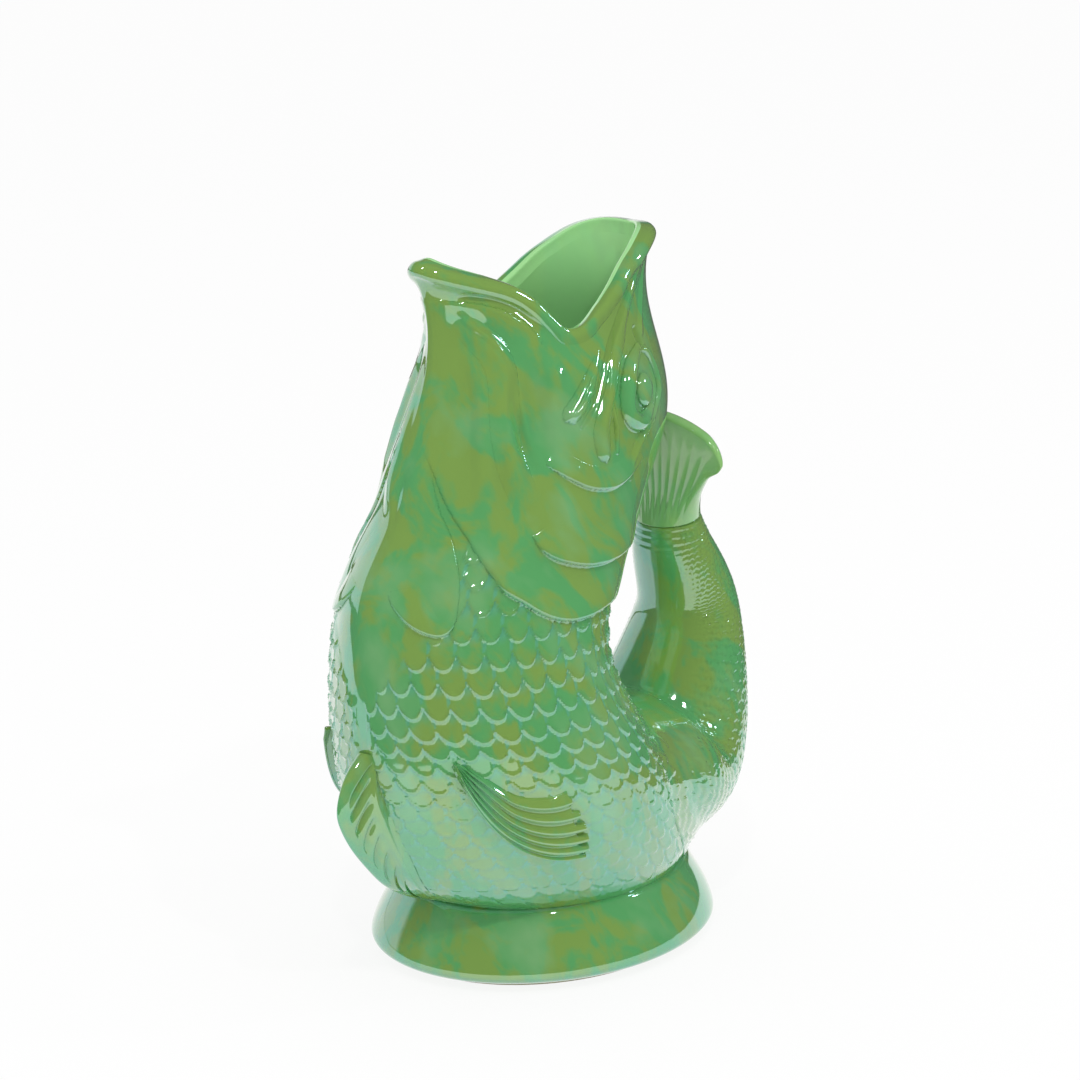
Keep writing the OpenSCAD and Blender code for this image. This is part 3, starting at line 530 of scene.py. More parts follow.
def smooth_relief(z, angle):
    """What the mould's carving adds to the plain skin, apart from the scales: the lines, and a
    swelling up to the lip."""
    added = sum(stroke(z, angle, **line) for line in carved_lines)
    below_seat = np.maximum(seat_at(angle) - z, 0)
    swell = swell_share * lip_overhang(angle) * np.exp(-below_seat / swell_depth)
    return added + np.where(z > swell_from, swell, 0)


under_pad = 0.35
thicker_below = 50


def carved_skin(z, angle):
    """The skin with its carving, just under the pads of clay where they lie on it."""
    clay = pressed_height(z, angle)
    relief = smooth_relief(z, angle) + clay - under_pad * ease(0.03, 0.5, clay)
    relief = relief + body_scales(z, angle) * ease(0.4, 0.02, clay)
    return body_skin(z, angle) + body_normal(z, angle) * relief[..., None]


def numbers(items, name, size=1, kind=float):
    """The numbers that Blender keeps under this name for all items of a mesh, in one row."""
    values = np.empty(len(items) * size, kind)
    items.foreach_get(name, values)
    return values


def read_mark(mesh, mark):
    """The numbers that a mark holds, one a point."""
    return numbers(mesh.attributes[mark].data, "value")


def only_selected(*pieces):
    """These pieces are selected and no other, and the last one is the active one."""
    bpy.ops.object.select_all(action="DESELECT")
    for piece in pieces:
        piece.select_set(True)
        bpy.context.view_layer.objects.active = piece


merge_distance = 0.02


def wrap(name, columns, rows, place, marks=None, round_angle=None, outward=None):
    """A grid is added, wrapped by place(across, along), and merged where its edges meet. Marks
    are numbers kept at its points. An edge whose two ends have the same "fold" above 0 keeps its
    crease in the shading. An open sheet is turned to face outward."""
    bpy.ops.object.select_all(action="DESELECT")
    bpy.ops.mesh.primitive_grid_add(x_subdivisions=columns, y_subdivisions=rows, size=1)
    piece = bpy.context.object
    piece.name = name
    mesh = piece.data
    flat = numbers(mesh.vertices, "co", 3)
    across = np.rint((flat[0::3] + 0.5) * columns) / columns
    along = np.rint((flat[1::3] + 0.5) * rows) / rows
    mesh.vertices.foreach_set("co", (place(across, along) * mm).ravel())
    for mark, value in (marks or {}).items():
        kept = mesh.attributes.new(mark, "FLOAT", "POINT")
        kept.data.foreach_set("value", value(across, along).astype(np.float32))
    mesh.update()
    bpy.ops.object.mode_set(mode="EDIT")
    bpy.ops.mesh.select_all(action="SELECT")
    bpy.ops.mesh.remove_doubles(threshold=merge_distance * mm)
    bpy.ops.mesh.normals_make_consistent(inside=False)
    bpy.ops.mesh.select_all(action="DESELECT")
    bpy.ops.object.mode_set(mode="OBJECT")
    if outward is not None and numbers(mesh.polygons, "normal", 3).reshape(-1, 3).sum(0) @ outward < 0:
        mesh.flip_normals()
    if round_angle is None:
        bpy.ops.object.shade_smooth()
    else:
        bpy.ops.object.shade_smooth_by_angle(angle=math.radians(round_angle))
    if marks and "fold" in marks:
        folds = read_mark(mesh, "fold")
        ends = numbers(mesh.edges, "vertices", 2, np.int32)
        one, other = folds[ends[0::2]], folds[ends[1::2]]
        sharp = mesh.attributes.get("sharp_edge") or mesh.attributes.new("sharp_edge", "BOOLEAN", "EDGE")
        sharp.data.foreach_set("value", (one > 0.5) & (one == other))
    return piece


def wall_of(z):
    """Thickness of the wall, more where the belly rounds under to the foot."""
    return wall * (1 + 0.5 * np.maximum(0, (thicker_below - z) / 25) ** 2)


def casting(name, low, high_at, outer_rows, inner_rows):
    """A closed wall between the carved skin and the plain one inside it, from a level up to
    high_at(angle). Marks say where it is the inner side, a fold, a scale's rim or a valley."""
    rows = outer_rows + inner_rows + 2

    def read(across, along):
        """Angle and level of the points, and whether they are on the outer side."""
        angle = 360 * across
        k = np.rint(along * rows)
        is_outer = (k <= outer_rows) | (k == rows)
        inner_share = 1 - np.clip((k - outer_rows - 1) / inner_rows, 0, 1)
        up = np.where(is_outer, np.where(k == rows, 0, k / outer_rows), inner_share)
        return angle, low + up * (high_at(angle) - low), is_outer

    def place(across, along):
        angle, z, is_outer = read(across, along)
        points = body_skin(z, angle, wall_of(z))
        points[is_outer] = carved_skin(z[is_outer], angle[is_outer])
        return points

    def mark_scales(no_mark, full_mark):
        """A mark between two heights of the scales."""
        def mark(across, along):
            angle, z, is_outer = read(across, along)
            height, shown = scale_field(z, angle)
            return ease(no_mark, full_mark, height) * shown * is_outer
        return mark

    def inner(across, along):
        return ~read(across, along)[2]

    def fold(across, along):
        k = np.rint(along * rows) % rows
        return (k == 0) * 1 + (k == outer_rows) * 2 + (k == outer_rows + 1) * 3 + (k == rows - 1) * 4

    return wrap(name, shell_columns, rows, place, {
        "inner": inner, "fold": fold, "rim": mark_scales(0.8, 0.98), "valley": mark_scales(0.24, 0.06)})


def glaze_mottle_and_sheen():
    """Node group: clouds of olive and emerald with pools of mint. The rims of the scales turn to
    mint: the thin glaze breaks lighter there, and a painted highlight is added. The valleys
    between them take the crease colour: the glaze pools there, and its cyan is a painted
    reflection of the pearl lustre."""
    group = bpy.data.node_groups.new("glaze_mottle_and_sheen", "ShaderNodeTree")
    for name in ("Olive", "Emerald", "Mint", "Crease"):
        group.interface.new_socket(name, in_out="INPUT", socket_type="NodeSocketColor")
    group.interface.new_socket("Cloud Scale", in_out="INPUT", socket_type="NodeSocketFloat")
    group.interface.new_socket("Colour", in_out="OUTPUT", socket_type="NodeSocketColor")
    group.interface.new_socket("Cloud", in_out="OUTPUT", socket_type="NodeSocketFloat")
    given = group.nodes.new("NodeGroupInput").outputs
    place = add_node(group, "TexCoord")
    drawn_out = add_node(group, "Mapping", {
        "Vector": place.outputs["Object"], "Rotation": (0, -0.5, 0), "Scale": (1, 1, 2.1)},
        vector_type="TEXTURE")

    def noise(values):
        return add_node(group, "TexNoise", {"Vector": drawn_out.outputs["Vector"], **values}).outputs["Fac"]

    def blend(share, below, above):
        return add_node(group, "Mix", {"Factor": share, "A": below, "B": above},
                        data_type="RGBA").outputs["Result"]

    def mark_share(mark, most):
        marked = add_node(group, "Attribute", attribute_name=mark)
        return add_node(group, "Math", {0: marked.outputs["Fac"], 1: most},
                        operation="MULTIPLY").outputs[0]

    big = noise({"Scale": given["Cloud Scale"], "Detail": 3, "Roughness": 0.55, "Distortion": 0.9})
    fine = noise({"Scale": 210, "Detail": 4})
    both = add_node(group, "Mix", {"Factor": 0.25, "A": big, "B": fine})
    clouds = add_node(group, "MapRange", {
        "Value": both.outputs["Result"], "From Min": 0.43, "From Max": 0.57},
        interpolation_type="SMOOTHSTEP").outputs["Result"]
    pools = add_node(group, "MapRange", {
        "Value": noise({"Scale": 45, "Detail": 3}), "From Min": 0.52, "From Max": 0.75})
    colour = blend(clouds, given["Olive"], given["Emerald"])
    colour = blend(pools.outputs["Result"], colour, given["Mint"])
    # Rims of the scales: the thin glaze breaks lighter there, and the mint also paints a highlight line on
    # them.
    colour = blend(mark_share("rim", 0.3), colour, given["Mint"])
    # Valleys between the scales: the glaze pools there, and the cyan crease colour paints the reflection of
    # its pearl lustre.
    colour = blend(mark_share("valley", 0.65), colour, given["Crease"])
    connect(group, group.nodes.new("NodeGroupOutput"), {"Colour": colour, "Cloud": clouds})
    return group


mottle_and_sheen = glaze_mottle_and_sheen()
# Crease colour: a painted cyan reflection of the pearl lustre, where the glaze pools in the valleys.
crease_green = (0.11, 0.45, 0.29, 1)
film_ior, glaze_ior, coat_ior = 1.55, 1.5, 1.6
ior_under_film = 2.4
wave_depth = 0.001


def glaze(name, olive, emerald, mint, cloud_scale, film=0):
    """A glossy glaze; film is the thickness of its mother-of-pearl skin in nanometres."""
    material, tree, shader = new_material(name)
    # The group's colour holds the clouds, and also the painted highlight on the scale rims and the painted
    # reflection in their valleys.
    clouds = add_node(tree, "Group", {
        "Olive": olive, "Emerald": emerald, "Mint": mint, "Crease": crease_green,
        "Cloud Scale": cloud_scale}, node_tree=mottle_and_sheen)
    sheen = add_node(tree, "MapRange", {
        "Value": clouds.outputs["Cloud"], "To Min": 0.035, "To Max": 0.07})
    place = add_node(tree, "TexCoord")
    waves = add_node(tree, "TexNoise", {"Vector": place.outputs["Object"], "Scale": 70, "Detail": 2})
    uneven = add_node(tree, "Bump", {
        "Height": waves.outputs["Fac"], "Strength": 0.2, "Distance": wave_depth})
    connect(tree, shader, {
        "Base Color": clouds.outputs["Colour"], "Roughness": sheen.outputs["Result"],
        "Normal": uneven.outputs["Normal"], "IOR": ior_under_film if film else glaze_ior,
        "Thin Film Thickness": film, "Thin Film IOR": film_ior, "Coat Weight": 1.0,
        "Coat Roughness": 0.03, "Coat IOR": coat_ior})
    return material


lustre = glaze("lustre_glaze", (0.21, 0.37, 0.07, 1), (0.1, 0.39, 0.12, 1),
               (0.2, 0.45, 0.18, 1), cloud_scale=62, film=170)
# Fan glaze: the fan's own paler green, lightened further as painted light to make up for the shade that it
# lies in between head and tail.
fan_green_with_painted_light = glaze("fan_glaze_with_painted_light", (0.26, 0.52, 0.17, 1), (0.22, 0.51, 0.18, 1),
                   (0.28, 0.54, 0.21, 1), cloud_scale=40)
# Lining: its own plainer, lighter green, made paler still as painted light that stands in for the light
# falling into the mouth from above.
plain_green = glaze("plain_green_glaze", (0.4, 0.78, 0.33, 1), (0.38, 0.77, 0.34, 1),
                    (0.42, 0.8, 0.36, 1), cloud_scale=12)


def finish_piece(piece, *nodes, slot="lustre_glaze", outside=lustre, lining=None):
    """Gives a piece its glaze, with a lining inside if it has one, and its body, and hides its
    nodes. The slot is not used.
    """
    piece.data.materials.append(outside)
    if lining is not None:
        piece.data.materials.append(lining)
        marks = read_mark(piece.data, "inner")
        for face in piece.data.polygons:
            face.material_index = int(min(marks[v] for v in face.vertices) > 0.5)
    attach(piece, "root")
    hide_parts(*nodes)


belly = casting("belly_casting", foot_top, lambda angle: neck_level, outer_rows=146, inner_rows=12)
finish_piece(belly, "belly_shell", lining=plain_green)

# Neck: the casting of throat and gills, from the same mould, cut level above and below and
# luted to belly and head.
neck = casting("neck_casting", neck_level, lambda angle: head_level, outer_rows=74, inner_rows=8)
finish_piece(neck, "neck_shell", lining=plain_green)

# Head: the casting from the neck up to the seat of the lip, which follows the open mouth. It
# is luted to the neck, and the glaze hides the seam.
head = casting("head_casting", head_level, seat_at, outer_rows=84, inner_rows=10)
finish_piece(head, "head_shell", lining=plain_green)

# Rolled lip: a bead of clay luted on round the whole mouth, flared at the tips of both lips and
# thin at the corners of the mouth, with a crisp inner edge where the glaze breaks.
lip_inside = 0.1
lip_section = 28
lip_back = 4
lip_rows = lip_section + lip_back
lip_edge_angle = 80


def lip_place(across, along):
    """The section of the bead, from the wall's outer edge over to its inner one and back."""
    angle = 360 * across
    seat = seat_at(angle)
    foot_out = carved_skin(seat, angle)
    foot_in = body_skin(seat, angle, wall)
    outward = foot_out - foot_in
    outward[:, 2] = 0
    thick = np.linalg.norm(outward, axis=1, keepdims=True)
    outward = outward / thick
    rise = (rim_at(angle) - seat)[:, None] * np.array([0, 0, 1.0])
    hang = lip_overhang(angle)[:, None]
    inner = foot_in - outward * lip_inside
    section = np.stack([
        foot_out,
        foot_out + outward * hang * 0.42 + rise * 0.3,
        foot_out + outward * hang * 0.4 + rise * 0.62,
        foot_out - outward * 0.5 + rise * 0.92,
        foot_out - outward * thick * 0.4 + rise,
        inner + outward * 0.9 + rise * 0.97,
        inner + outward * 0.1 + rise * 0.84,
        inner + outward * 0.2 + rise * 0.5,
        foot_in,
    ])
    points = np.empty((len(angle), 3))
    share = np.clip(along * lip_rows / lip_section, 0, 1)
    for step in np.unique(share):
        chosen = share == step
        weights = np.array([evenly(only_one, step) for only_one in np.eye(len(section))])
        points[chosen] = np.tensordot(weights, section[:, chosen], axes=(0, 0))
    over = np.clip((along * lip_rows - lip_section) / lip_back, 0, 1)[:, None]
    return np.where(over > 0, foot_in + (foot_out - foot_in) * over, points)


def lip_inner(across, along):
    """Where the lining's glaze comes up over the lip."""
    return (along * lip_rows > 0.55 * lip_section) & (along < 1)


lip = wrap("rolled_lip", shell_columns, lip_rows, lip_place, {"inner": lip_inner}, lip_edge_angle)
finish_piece(lip, "mouth_rim", lining=plain_green)

# Second ridge under the lip: a pad of clay, pressed on and shaped by strokes of the modelling
# tool, as all the reliefs are. It leaves a lens-shaped groove between itself and the lip.
sunk = 0.04
pad_depth = 1.2
least_height = 0.006


def thicken(sheet_piece, depth):
    """Gives an open sheet its back and its edges."""
    back = sheet_piece.modifiers.new("back", "SOLIDIFY")
    back.thickness = depth * mm
    back.offset = -1
    bpy.ops.object.modifier_apply(modifier=back.name)


def pressed(name, height, z_range, angle_range, spacing=0.45):
    """A pad whose height above the smooth skin is height(z, angle). It runs out just under the
    skin, whose own shape flows into it."""
    low, high = z_range
    first, last = angle_range
    middle = [(low + high) / 2, (first + last) / 2]
    columns = int((last - first) * per_degree(*middle) / spacing)
    rows = int((high - low) / spacing)
    clay = {}

    def place(across, along):
        z = low + along * (high - low)
        angle = first + across * (last - first)
        clay["height"] = height(z, angle)
        shown = clay["height"] > 0
        raised = clay["height"][shown]
        lift = smooth_relief(z[shown], angle[shown]) + raised - sunk * ease(0.3, 0, raised)
        points = body_skin(z, angle)
        points[shown] += body_normal(z[shown], angle[shown]) * lift[:, None]
        return points

    def bare(across, along):
        return clay["height"] < least_height

    pad = wrap(name, columns, rows, place, {"bare": bare}, outward=body_normal(*middle))
    pad.data.vertices.foreach_set("select", read_mark(pad.data, "bare") > 0.5)
    bpy.ops.object.mode_set(mode="EDIT")
    bpy.ops.mesh.select_mode(type="VERT")
    bpy.ops.mesh.delete(type="VERT")
    bpy.ops.object.mode_set(mode="OBJECT")
    thicken(pad, pad_depth)
    return pad


ridge = pressed("lip_ridge", ridge_height, z_range=(208, 234), angle_range=(-64, 64))
finish_piece(ridge, "lip_ridge")


# Gill covers: three plates of clay a side, pressed on, proud at their lower edge and fading
# upward. The lowest one runs up along the throat as a crease.
def mirrored(piece, name):
    """A copy of a piece for the fish's right side."""
    only_selected(piece)
    bpy.ops.object.duplicate()
    twin = bpy.context.object
    twin.name = name
    points = numbers(twin.data.vertices, "co", 3)
    points[1::3] *= -1
    twin.data.vertices.foreach_set("co", points)
    twin.data.flip_normals()
    return twin


def both_sides(name, left):
    """Adds the twin of a left piece on the right, and finishes both."""
    right = mirrored(left, f"{name}_right")
    finish_piece(left, f"{name}_left")
    finish_piece(right, f"{name}_right")


gill_cover = pressed("gill_covers_left", gill_height,
                     z_range=(125, 188), angle_range=(8, 142), spacing=0.5)
both_sides("gill_covers", gill_cover)

# Gular fold: the edge of the smooth plate in front of the gills, a strip of clay pressed on,
# with a free lower edge.
gular_fold = pressed("gular_fold_left", gular_height, z_range=(125, 184), angle_range=(2, 44))
both_sides("gular_fold", gular_fold)

# Throat fold: a soft roll of clay from under the lip down to the gills, pressed on and
# smoothed into the skin on both sides.
throat_fold = pressed("throat_fold_left", throat_height, z_range=(158, 230), angle_range=(16, 66))
both_sides("throat_fold", throat_fold)

# Jaw lobe: a drop of clay pressed on behind the corner of the mouth, with a groove drawn
# into it.
jaw_lobe = pressed("jaw_lobe_left", jaw_height, z_range=(181, 213), angle_range=(60, 93), spacing=0.35)
both_sides("jaw_lobe", jaw_lobe)

# Cheek folds: rolls of clay pressed on, the long strap from the upper lip, a narrow fold
# beside it and one behind the eye.
cheek_folds = pressed("cheek_folds_left", cheek_height,
                      z_range=(166, 230), angle_range=(74, 124), spacing=0.35)
both_sides("cheek_folds", cheek_folds)

# Eyes: a thick roll of clay that hooks round the front and the bottom, a thin lid over the
# top and the back that runs on down the cheek, and a domed ball pressed in between.
eye_ring = pressed("eye_ring_left", eye_ring_height,
                   z_range=(179, 213), angle_range=(88, 130), spacing=0.3)
both_sides("eye_ring", eye_ring)
eyeball = pressed("eyeball_left", ball_height, z_range=(186, 203), angle_range=(100, 120), spacing=0.25)
both_sides("eyeball", eyeball)

# Tail: a hollow horn of clay luted to the back of the belly, which bends up to be the handle.
# Its sides and back carry fine scales, and its inner face is smooth. A fillet of slip rounds
# the corner between belly and tail.
tail_thickness = 56
tail_width = 88
tail_line = level_height * np.array(
    [[0, 0.24], [0.168, 0.205], [0.248, 0.221], [0.286, 0.303], [0.304, 0.384],
     [0.298, 0.436], [0.274, 0.488], [0.26, 0.544]])
tail_thick = tail_thickness / 2 * np.array([0.96, 1, 1, 0.84, 0.64, 0.56, 0.5, 0.36])
tail_wide = tail_width / 2 * np.array([1, 0.93, 0.75, 0.6, 0.48, 0.41, 0.36, 0.285])
tail_columns = 300
tail_scale_columns = 36
pleat_height, pleat_share = 0.12, 0.022
latest_root, halvings = 0.4, 22
worn_reach = 0.2
worn_steps = [(-1, 1), (-0.6, 2), (-0.25, 3), (0, 3), (0.25, 3), (0.6, 2), (1, 1)]


def line_and_run(line, at, step):
    """Place on a middle line of (x, z) points, and the way it runs there as a unit vector."""
    x, z = along_path(line, at)
    ahead_x, ahead_z = along_path(line, np.minimum(at + step, 1))
    behind_x, behind_z = along_path(line, np.maximum(at - step, 0))
    run_x, run_z = ahead_x - behind_x, ahead_z - behind_z
    length = np.hypot(run_x, run_z)
    return foot_x + x, z, run_x / length, run_z / length


def swept_skin(along, angle, inset):
    """An oval swept along the tail's middle line: angle 0 faces the belly."""
    turn = np.radians(angle)
    x, z, run_x, run_z = line_and_run(tail_line, along, 0.01)
    inward = (evenly(tail_thick, along) - inset) * np.cos(turn)
    wide = evenly(tail_wide, along) - inset
    return np.stack([x - run_z * inward, -wide * np.sin(turn), z + run_x * inward], -1)


def tail_skin(along, angle, inset=0.0):
    """The plain skin of the tail, from deep in the belly at 0 to its neck at 1. Where the sweep
    would pinch, on the inner face of the bend, it is worn round."""
    along, angle = np.broadcast_arrays(np.asarray(along, float), np.asarray(angle, float))
    inner_face = np.maximum(0, np.cos(np.radians(angle)))
    reach = worn_reach * inner_face**1.5 * ease(1.0, 0.8, along)
    worn = sum(swept_skin(np.clip(along + step * reach, 0, 1), angle, inset) * weight
               for step, weight in worn_steps)
    return worn / sum(weight for _, weight in worn_steps)


def tail_normal(along, angle):
    """The direction straight out of the tail's plain skin."""
    around = tail_skin(along, angle + 1) - tail_skin(along, angle - 1)
    ahead = tail_skin(np.minimum(along + 0.004, 1), angle) - tail_skin(along - 0.004, angle)
    return unit(np.cross(ahead, around))


def in_body_oval(point, z):
    """Where a point lies in the body's oval at level z: how far ahead of its widest place, how
    far along and across as shares of the oval's reach, and the oval's power."""
    middle = through(levels, widest_at, z)
    ahead = foot_x + middle - point[..., 0]
    reach = np.where(ahead > 0, through(levels, front_reach, z) + middle,
                     through(levels, back_reach, z) - middle)
    power = np.where(ahead > 0, through(levels, keel_power, z), 2)
    across = np.abs(point[..., 1]) / through(levels, half_width, z)
    return ahead, np.abs(ahead) / reach, across, power


def outside_body(point):
    """Above 0 where a point is outside the plain skin of the body."""
    _, along, across, power = in_body_oval(point, point[..., 2])
    return along**power + across**power - 1


def leaving(angle, inset=0.0):
    """Where along the tail its line at this angle comes out of the belly, found by halving."""
    low = np.zeros(np.shape(angle))
    high = np.full(np.shape(angle), latest_root)
    for _ in range(halvings):
        middle = (low + high) / 2
        out = outside_body(tail_skin(middle, angle, inset)) > 0
        high = np.where(out, middle, high)
        low = np.where(out, low, middle)
    return high


def tail_relief(along, angle):
    """Fine scales on the sides and the back of the tail, and small pleats at its neck."""
    off_inner = mirrored_angle(angle)
    column = off_inner / 360 * tail_scale_columns
    row = -np.interp(along, [0, 0.2, 0.6, 1], [0, 9, 29, 52])
    column = column + 0.12 * np.sin(row * 1.3) + 0.1 * np.sin(column * 2.2 + row)
    shown = ease(38, 62, off_inner) * ease(1.0, 0.97, along)
    size = np.interp(along, [0, 0.3, 1], [0.85, 0.75, 0.5])
    pleats = pleat_height * ease(0.9, 0.94, along) * np.cos(2 * math.pi * (along - 1) / pleat_share)
    return shown * size * scale_pattern(column, -row, arc=0.42, edge_width=0.25) + pleats


bore_end = 0.86
bore_round = 9
bore_rows = 16
tail_rows = 230


def tail_middle(along):
    """The point halfway between the inner and the outer face."""
    return (tail_skin(along, 0) + tail_skin(along, 180)) / 2


def tail_place(across, along):
    """From the end of the blind bore out to its mouth, and then along the outside to the neck."""
    angle = 360 * across
    rows = bore_rows + tail_rows + 1
    k = np.rint(along * rows)
    is_bore = k <= bore_rows
    points = np.empty((len(angle), 3))
    share = 1 - k[is_bore] / bore_rows
    root = leaving(angle[is_bore], wall)
    narrowing = wall + bore_round * np.clip((share - 0.9) / 0.1, 0, 1) ** 2
    s = root + share * (bore_end - root)
    points[is_bore] = tail_skin(s, angle[is_bore], narrowing)
    points[k == 0] = tail_middle(bore_end)
    share = (k[~is_bore] - bore_rows - 1) / tail_rows
    root = leaving(angle[~is_bore])
    s = root + share * (1 - root)
    lift = tail_relief(s, angle[~is_bore])
    points[~is_bore] = tail_skin(s, angle[~is_bore]) + tail_normal(s, angle[~is_bore]) * lift[:, None]
    points[k == rows] = tail_middle(1)
    return points


tail = wrap("hollow_tail", tail_columns, bore_rows + tail_rows + 1, tail_place)

fillet_rows = 24
fillet_depth = 1.5
fillet_lift = 0.03
fillet_body_width = 11
fillet_tail_share = 0.075
saddle_extra_width = 13
saddle_extra_share = 0.11
fillet_scales_share = 0.11


def on_body(point):
    """Level and angle of the skin next to a point."""
    z = np.maximum(point[..., 2], foot_top + 0.3)
    ahead, along, across, power = in_body_oval(point, z)
    cosine = along ** (power / 2) * np.sign(ahead)
    sine = across ** (power / 2) * -np.sign(point[..., 1])
    return z, np.degrees(np.arctan2(sine, cosine))


def in_plane(way, normal):
    """The part of a way that lies along the skin."""
    return way - (way * normal).sum(1)[:, None] * normal


def fillet_place(across, along):
    """A curve from the belly's skin to the tail's, which leaves both along their own way."""
    angle = 360 * across
    root = leaving(angle)
    corner = tail_skin(root, angle)
    centre = np.array([corner[:, 0].mean(), 0, corner[:, 2].mean()])
    away = unit(in_plane(corner - centre, body_normal(*on_body(corner))))
    in_saddle = np.maximum(0, np.cos(np.radians(angle))) ** 2
    reach = fillet_body_width + saddle_extra_width * in_saddle
    start_at = on_body(corner + away * reach[:, None])
    start = body_skin(*start_at)
    start_normal = body_normal(*start_at)
    tail_share = fillet_tail_share + saddle_extra_share * in_saddle
    end_at = root + tail_share
    end = tail_skin(end_at, angle)
    length = np.linalg.norm(end - start, axis=1, keepdims=True)
    start_way = unit(in_plane(corner - start, start_normal)) * length
    end_way = unit(tail_skin(end_at + 0.01, angle) - tail_skin(end_at - 0.01, angle)) * length
    s = along[:, None]
    points = ((2 * s**3 - 3 * s**2 + 1) * start + (s**3 - 2 * s**2 + s) * start_way
              + (3 * s**2 - 2 * s**3) * end + (s**3 - s**2) * end_way)
    lean = unit(start_normal * (1 - s) + tail_normal(end_at, angle) * s)
    lift = tail_relief(root + (along - 1) * fillet_scales_share + tail_share, angle) + fillet_lift
    return points + lean * lift[:, None]


fillet = wrap("slip_fillet", tail_columns, fillet_rows, fillet_place, outward=np.array([1, 0, 0]))
thicken(fillet, fillet_depth)
only_selected(fillet, tail)
bpy.ops.object.join()
finish_piece(tail, "tail_tube")

# Tail fan: a pressed plate of clay luted on as the end of the tail, cupped towards the head,
# with thirteen ribs that spread from its neck to a rounded, thick edge.
fan_width = 65
fan_line = level_height * np.array([[0.2596, 0.5455], [0.248, 0.59], [0.233, 0.64], [0.221, 0.698]])
fan_thick = tail_thick[-1] * np.array([1, 0.62, 0.42, 0.24])
fan_wide = fan_width / 2 * np.array([0.385, 0.53, 0.78, 1])
fan_ribs = 13
rib_height = 0.3
fan_columns, fan_rows = 480, 110
fan_edge_from = 0.94
fan_edge = 1.6
fan_cup_share = 0.05
fan_bow_share = 0.11
fan_corner_from = 0.76
fan_corner = 6.5


def fan_place(across, along):
    """An oval swept along the fan's middle line, flatter and wider towards its edge."""
    turn = 2 * math.pi * across
    side = np.sin(turn)
    face = np.cos(turn)
    s = np.clip(along / fan_edge_from, 0, 1)
    over = np.clip((along - fan_edge_from) / (1 - fan_edge_from), 0, 1)
    x, z, run_x, run_z = line_and_run(fan_line, s, 0.02)
    thick = evenly(fan_thick, s)
    wide = evenly(fan_wide, s)
    flat = np.sign(face) * np.abs(face) ** (1 - 0.55 * s)
    rounding = np.sqrt(np.clip(1 - over**2, 0, 1))
    fluted = ease(0, 0.25, s) * ease(1.0, 0.55, s)
    rib = rib_height * fluted * (np.abs(np.cos(fan_ribs * math.pi / 2 * side)) - 0.6)
    rib = rib * np.abs(face) ** 0.5 * np.sign(face)
    off = (thick * flat + rib) * rounding + fan_width * fan_cup_share * s * side**2
    corner = np.clip((np.abs(side) - fan_corner_from) / (1 - fan_corner_from), 0, 1)
    corner = (1 - np.sqrt(1 - corner**2)) * ease(0.55, 1, s)
    rise = -fan_width * fan_bow_share * s**2 * side**2 + fan_edge * over - fan_corner * corner
    return np.stack([x - run_z * off + run_x * rise, -wide * side, z + run_x * off + run_z * rise], -1)


def close_ends():
    """The open ends of the active piece are closed with a face each."""
    bpy.ops.object.mode_set(mode="EDIT")
    bpy.ops.mesh.select_mode(type="EDGE")
    bpy.ops.mesh.select_non_manifold()
    bpy.ops.mesh.edge_face_add()
    bpy.ops.mesh.select_all(action="DESELECT")
    bpy.ops.object.mode_set(mode="OBJECT")


fan = wrap("tail_fan", fan_columns, fan_rows, fan_place)
close_ends()
# The fan's glaze carries painted light: it is lightened for the shade between head and tail.
finish_piece(fan, "tail_fan", outside=fan_green_with_painted_light)

# Pectoral fins: wings pressed in a mould and luted to the belly, with a thick stalk that turns
# into their lower edge, and long round ribs that spread from the stalk to a stepped end.
fin_top = [(85.5, 36.5), (83, 41), (78.5, 46.5), (74.5, 51.5), (73, 57.5), (73.2, 63.5), (74.5, 68)]
fin_bottom = [(85.5, 35), (76, 37.5), (66, 41), (57, 46.5), (50.5, 54), (48, 61.5), (48, 69)]
fin_ribs = [0.03, 0.15, 0.29, 0.45, 0.64, 0.84]
fin_end_angles = [69.5, 71, 71.5, 71.3, 70.2, 68.3]
fin_web_end = 67.6
fin_proud = 3.3
fin_cord = 1.4
fin_stalk = 1.6
fin_sunk = 0.9
fin_depth = 0.8
fin_columns, fin_rows = 130, 170


def fin_place(across, along):
    """The outer face of the left fin, from its stalk to its end and from its lower edge up."""
    top_z, top_angle = along_path(fin_top, across)
    low_z, low_angle = along_path(fin_bottom, across)
    z = low_z + (top_z - low_z) * along
    angle = low_angle + (top_angle - low_angle) * along
    cords = np.zeros(np.shape(along))
    ends = np.full(np.shape(along), fin_web_end)
    for middle, end_angle in zip(fin_ribs, fin_end_angles):
        off = along - middle
        near = np.exp(-((off / np.where(off > 0, 0.068, 0.052)) ** 2))
        cords = np.maximum(cords, near)
        ends = ends + (end_angle - ends) * ease(0.5, 0.75, near)
    low_end, top_end = fin_bottom[-1][1], fin_top[-1][1]
    plain_end = low_end + (top_end - low_end) * along
    angle = angle + (ends - plain_end) * across**4
    edge = np.minimum(ease(0, 0.05, along), ease(1, 0.94, along))
    edge = np.minimum(edge, ease(1, 0.965, across))
    stalk = np.exp(-((along / 0.2) ** 2)) * ease(0.75, 0.1, across)
    body = 1.2 + 0.5 * ease(0, 0.5, across) - 0.5 * along
    lift = body + fin_cord * cords * ease(0, 0.16, across) + fin_stalk * stalk
    lift = np.minimum(lift, fin_proud) * edge - fin_sunk * (1 - edge)
    return body_skin(z, angle) + body_normal(z, angle) * lift[:, None]


fin_left = wrap("pectoral_fin_left", fin_columns, fin_rows, fin_place, outward=body_normal(65, 53))
thicken(fin_left, fin_depth)
both_sides("pectoral_fin", fin_left)

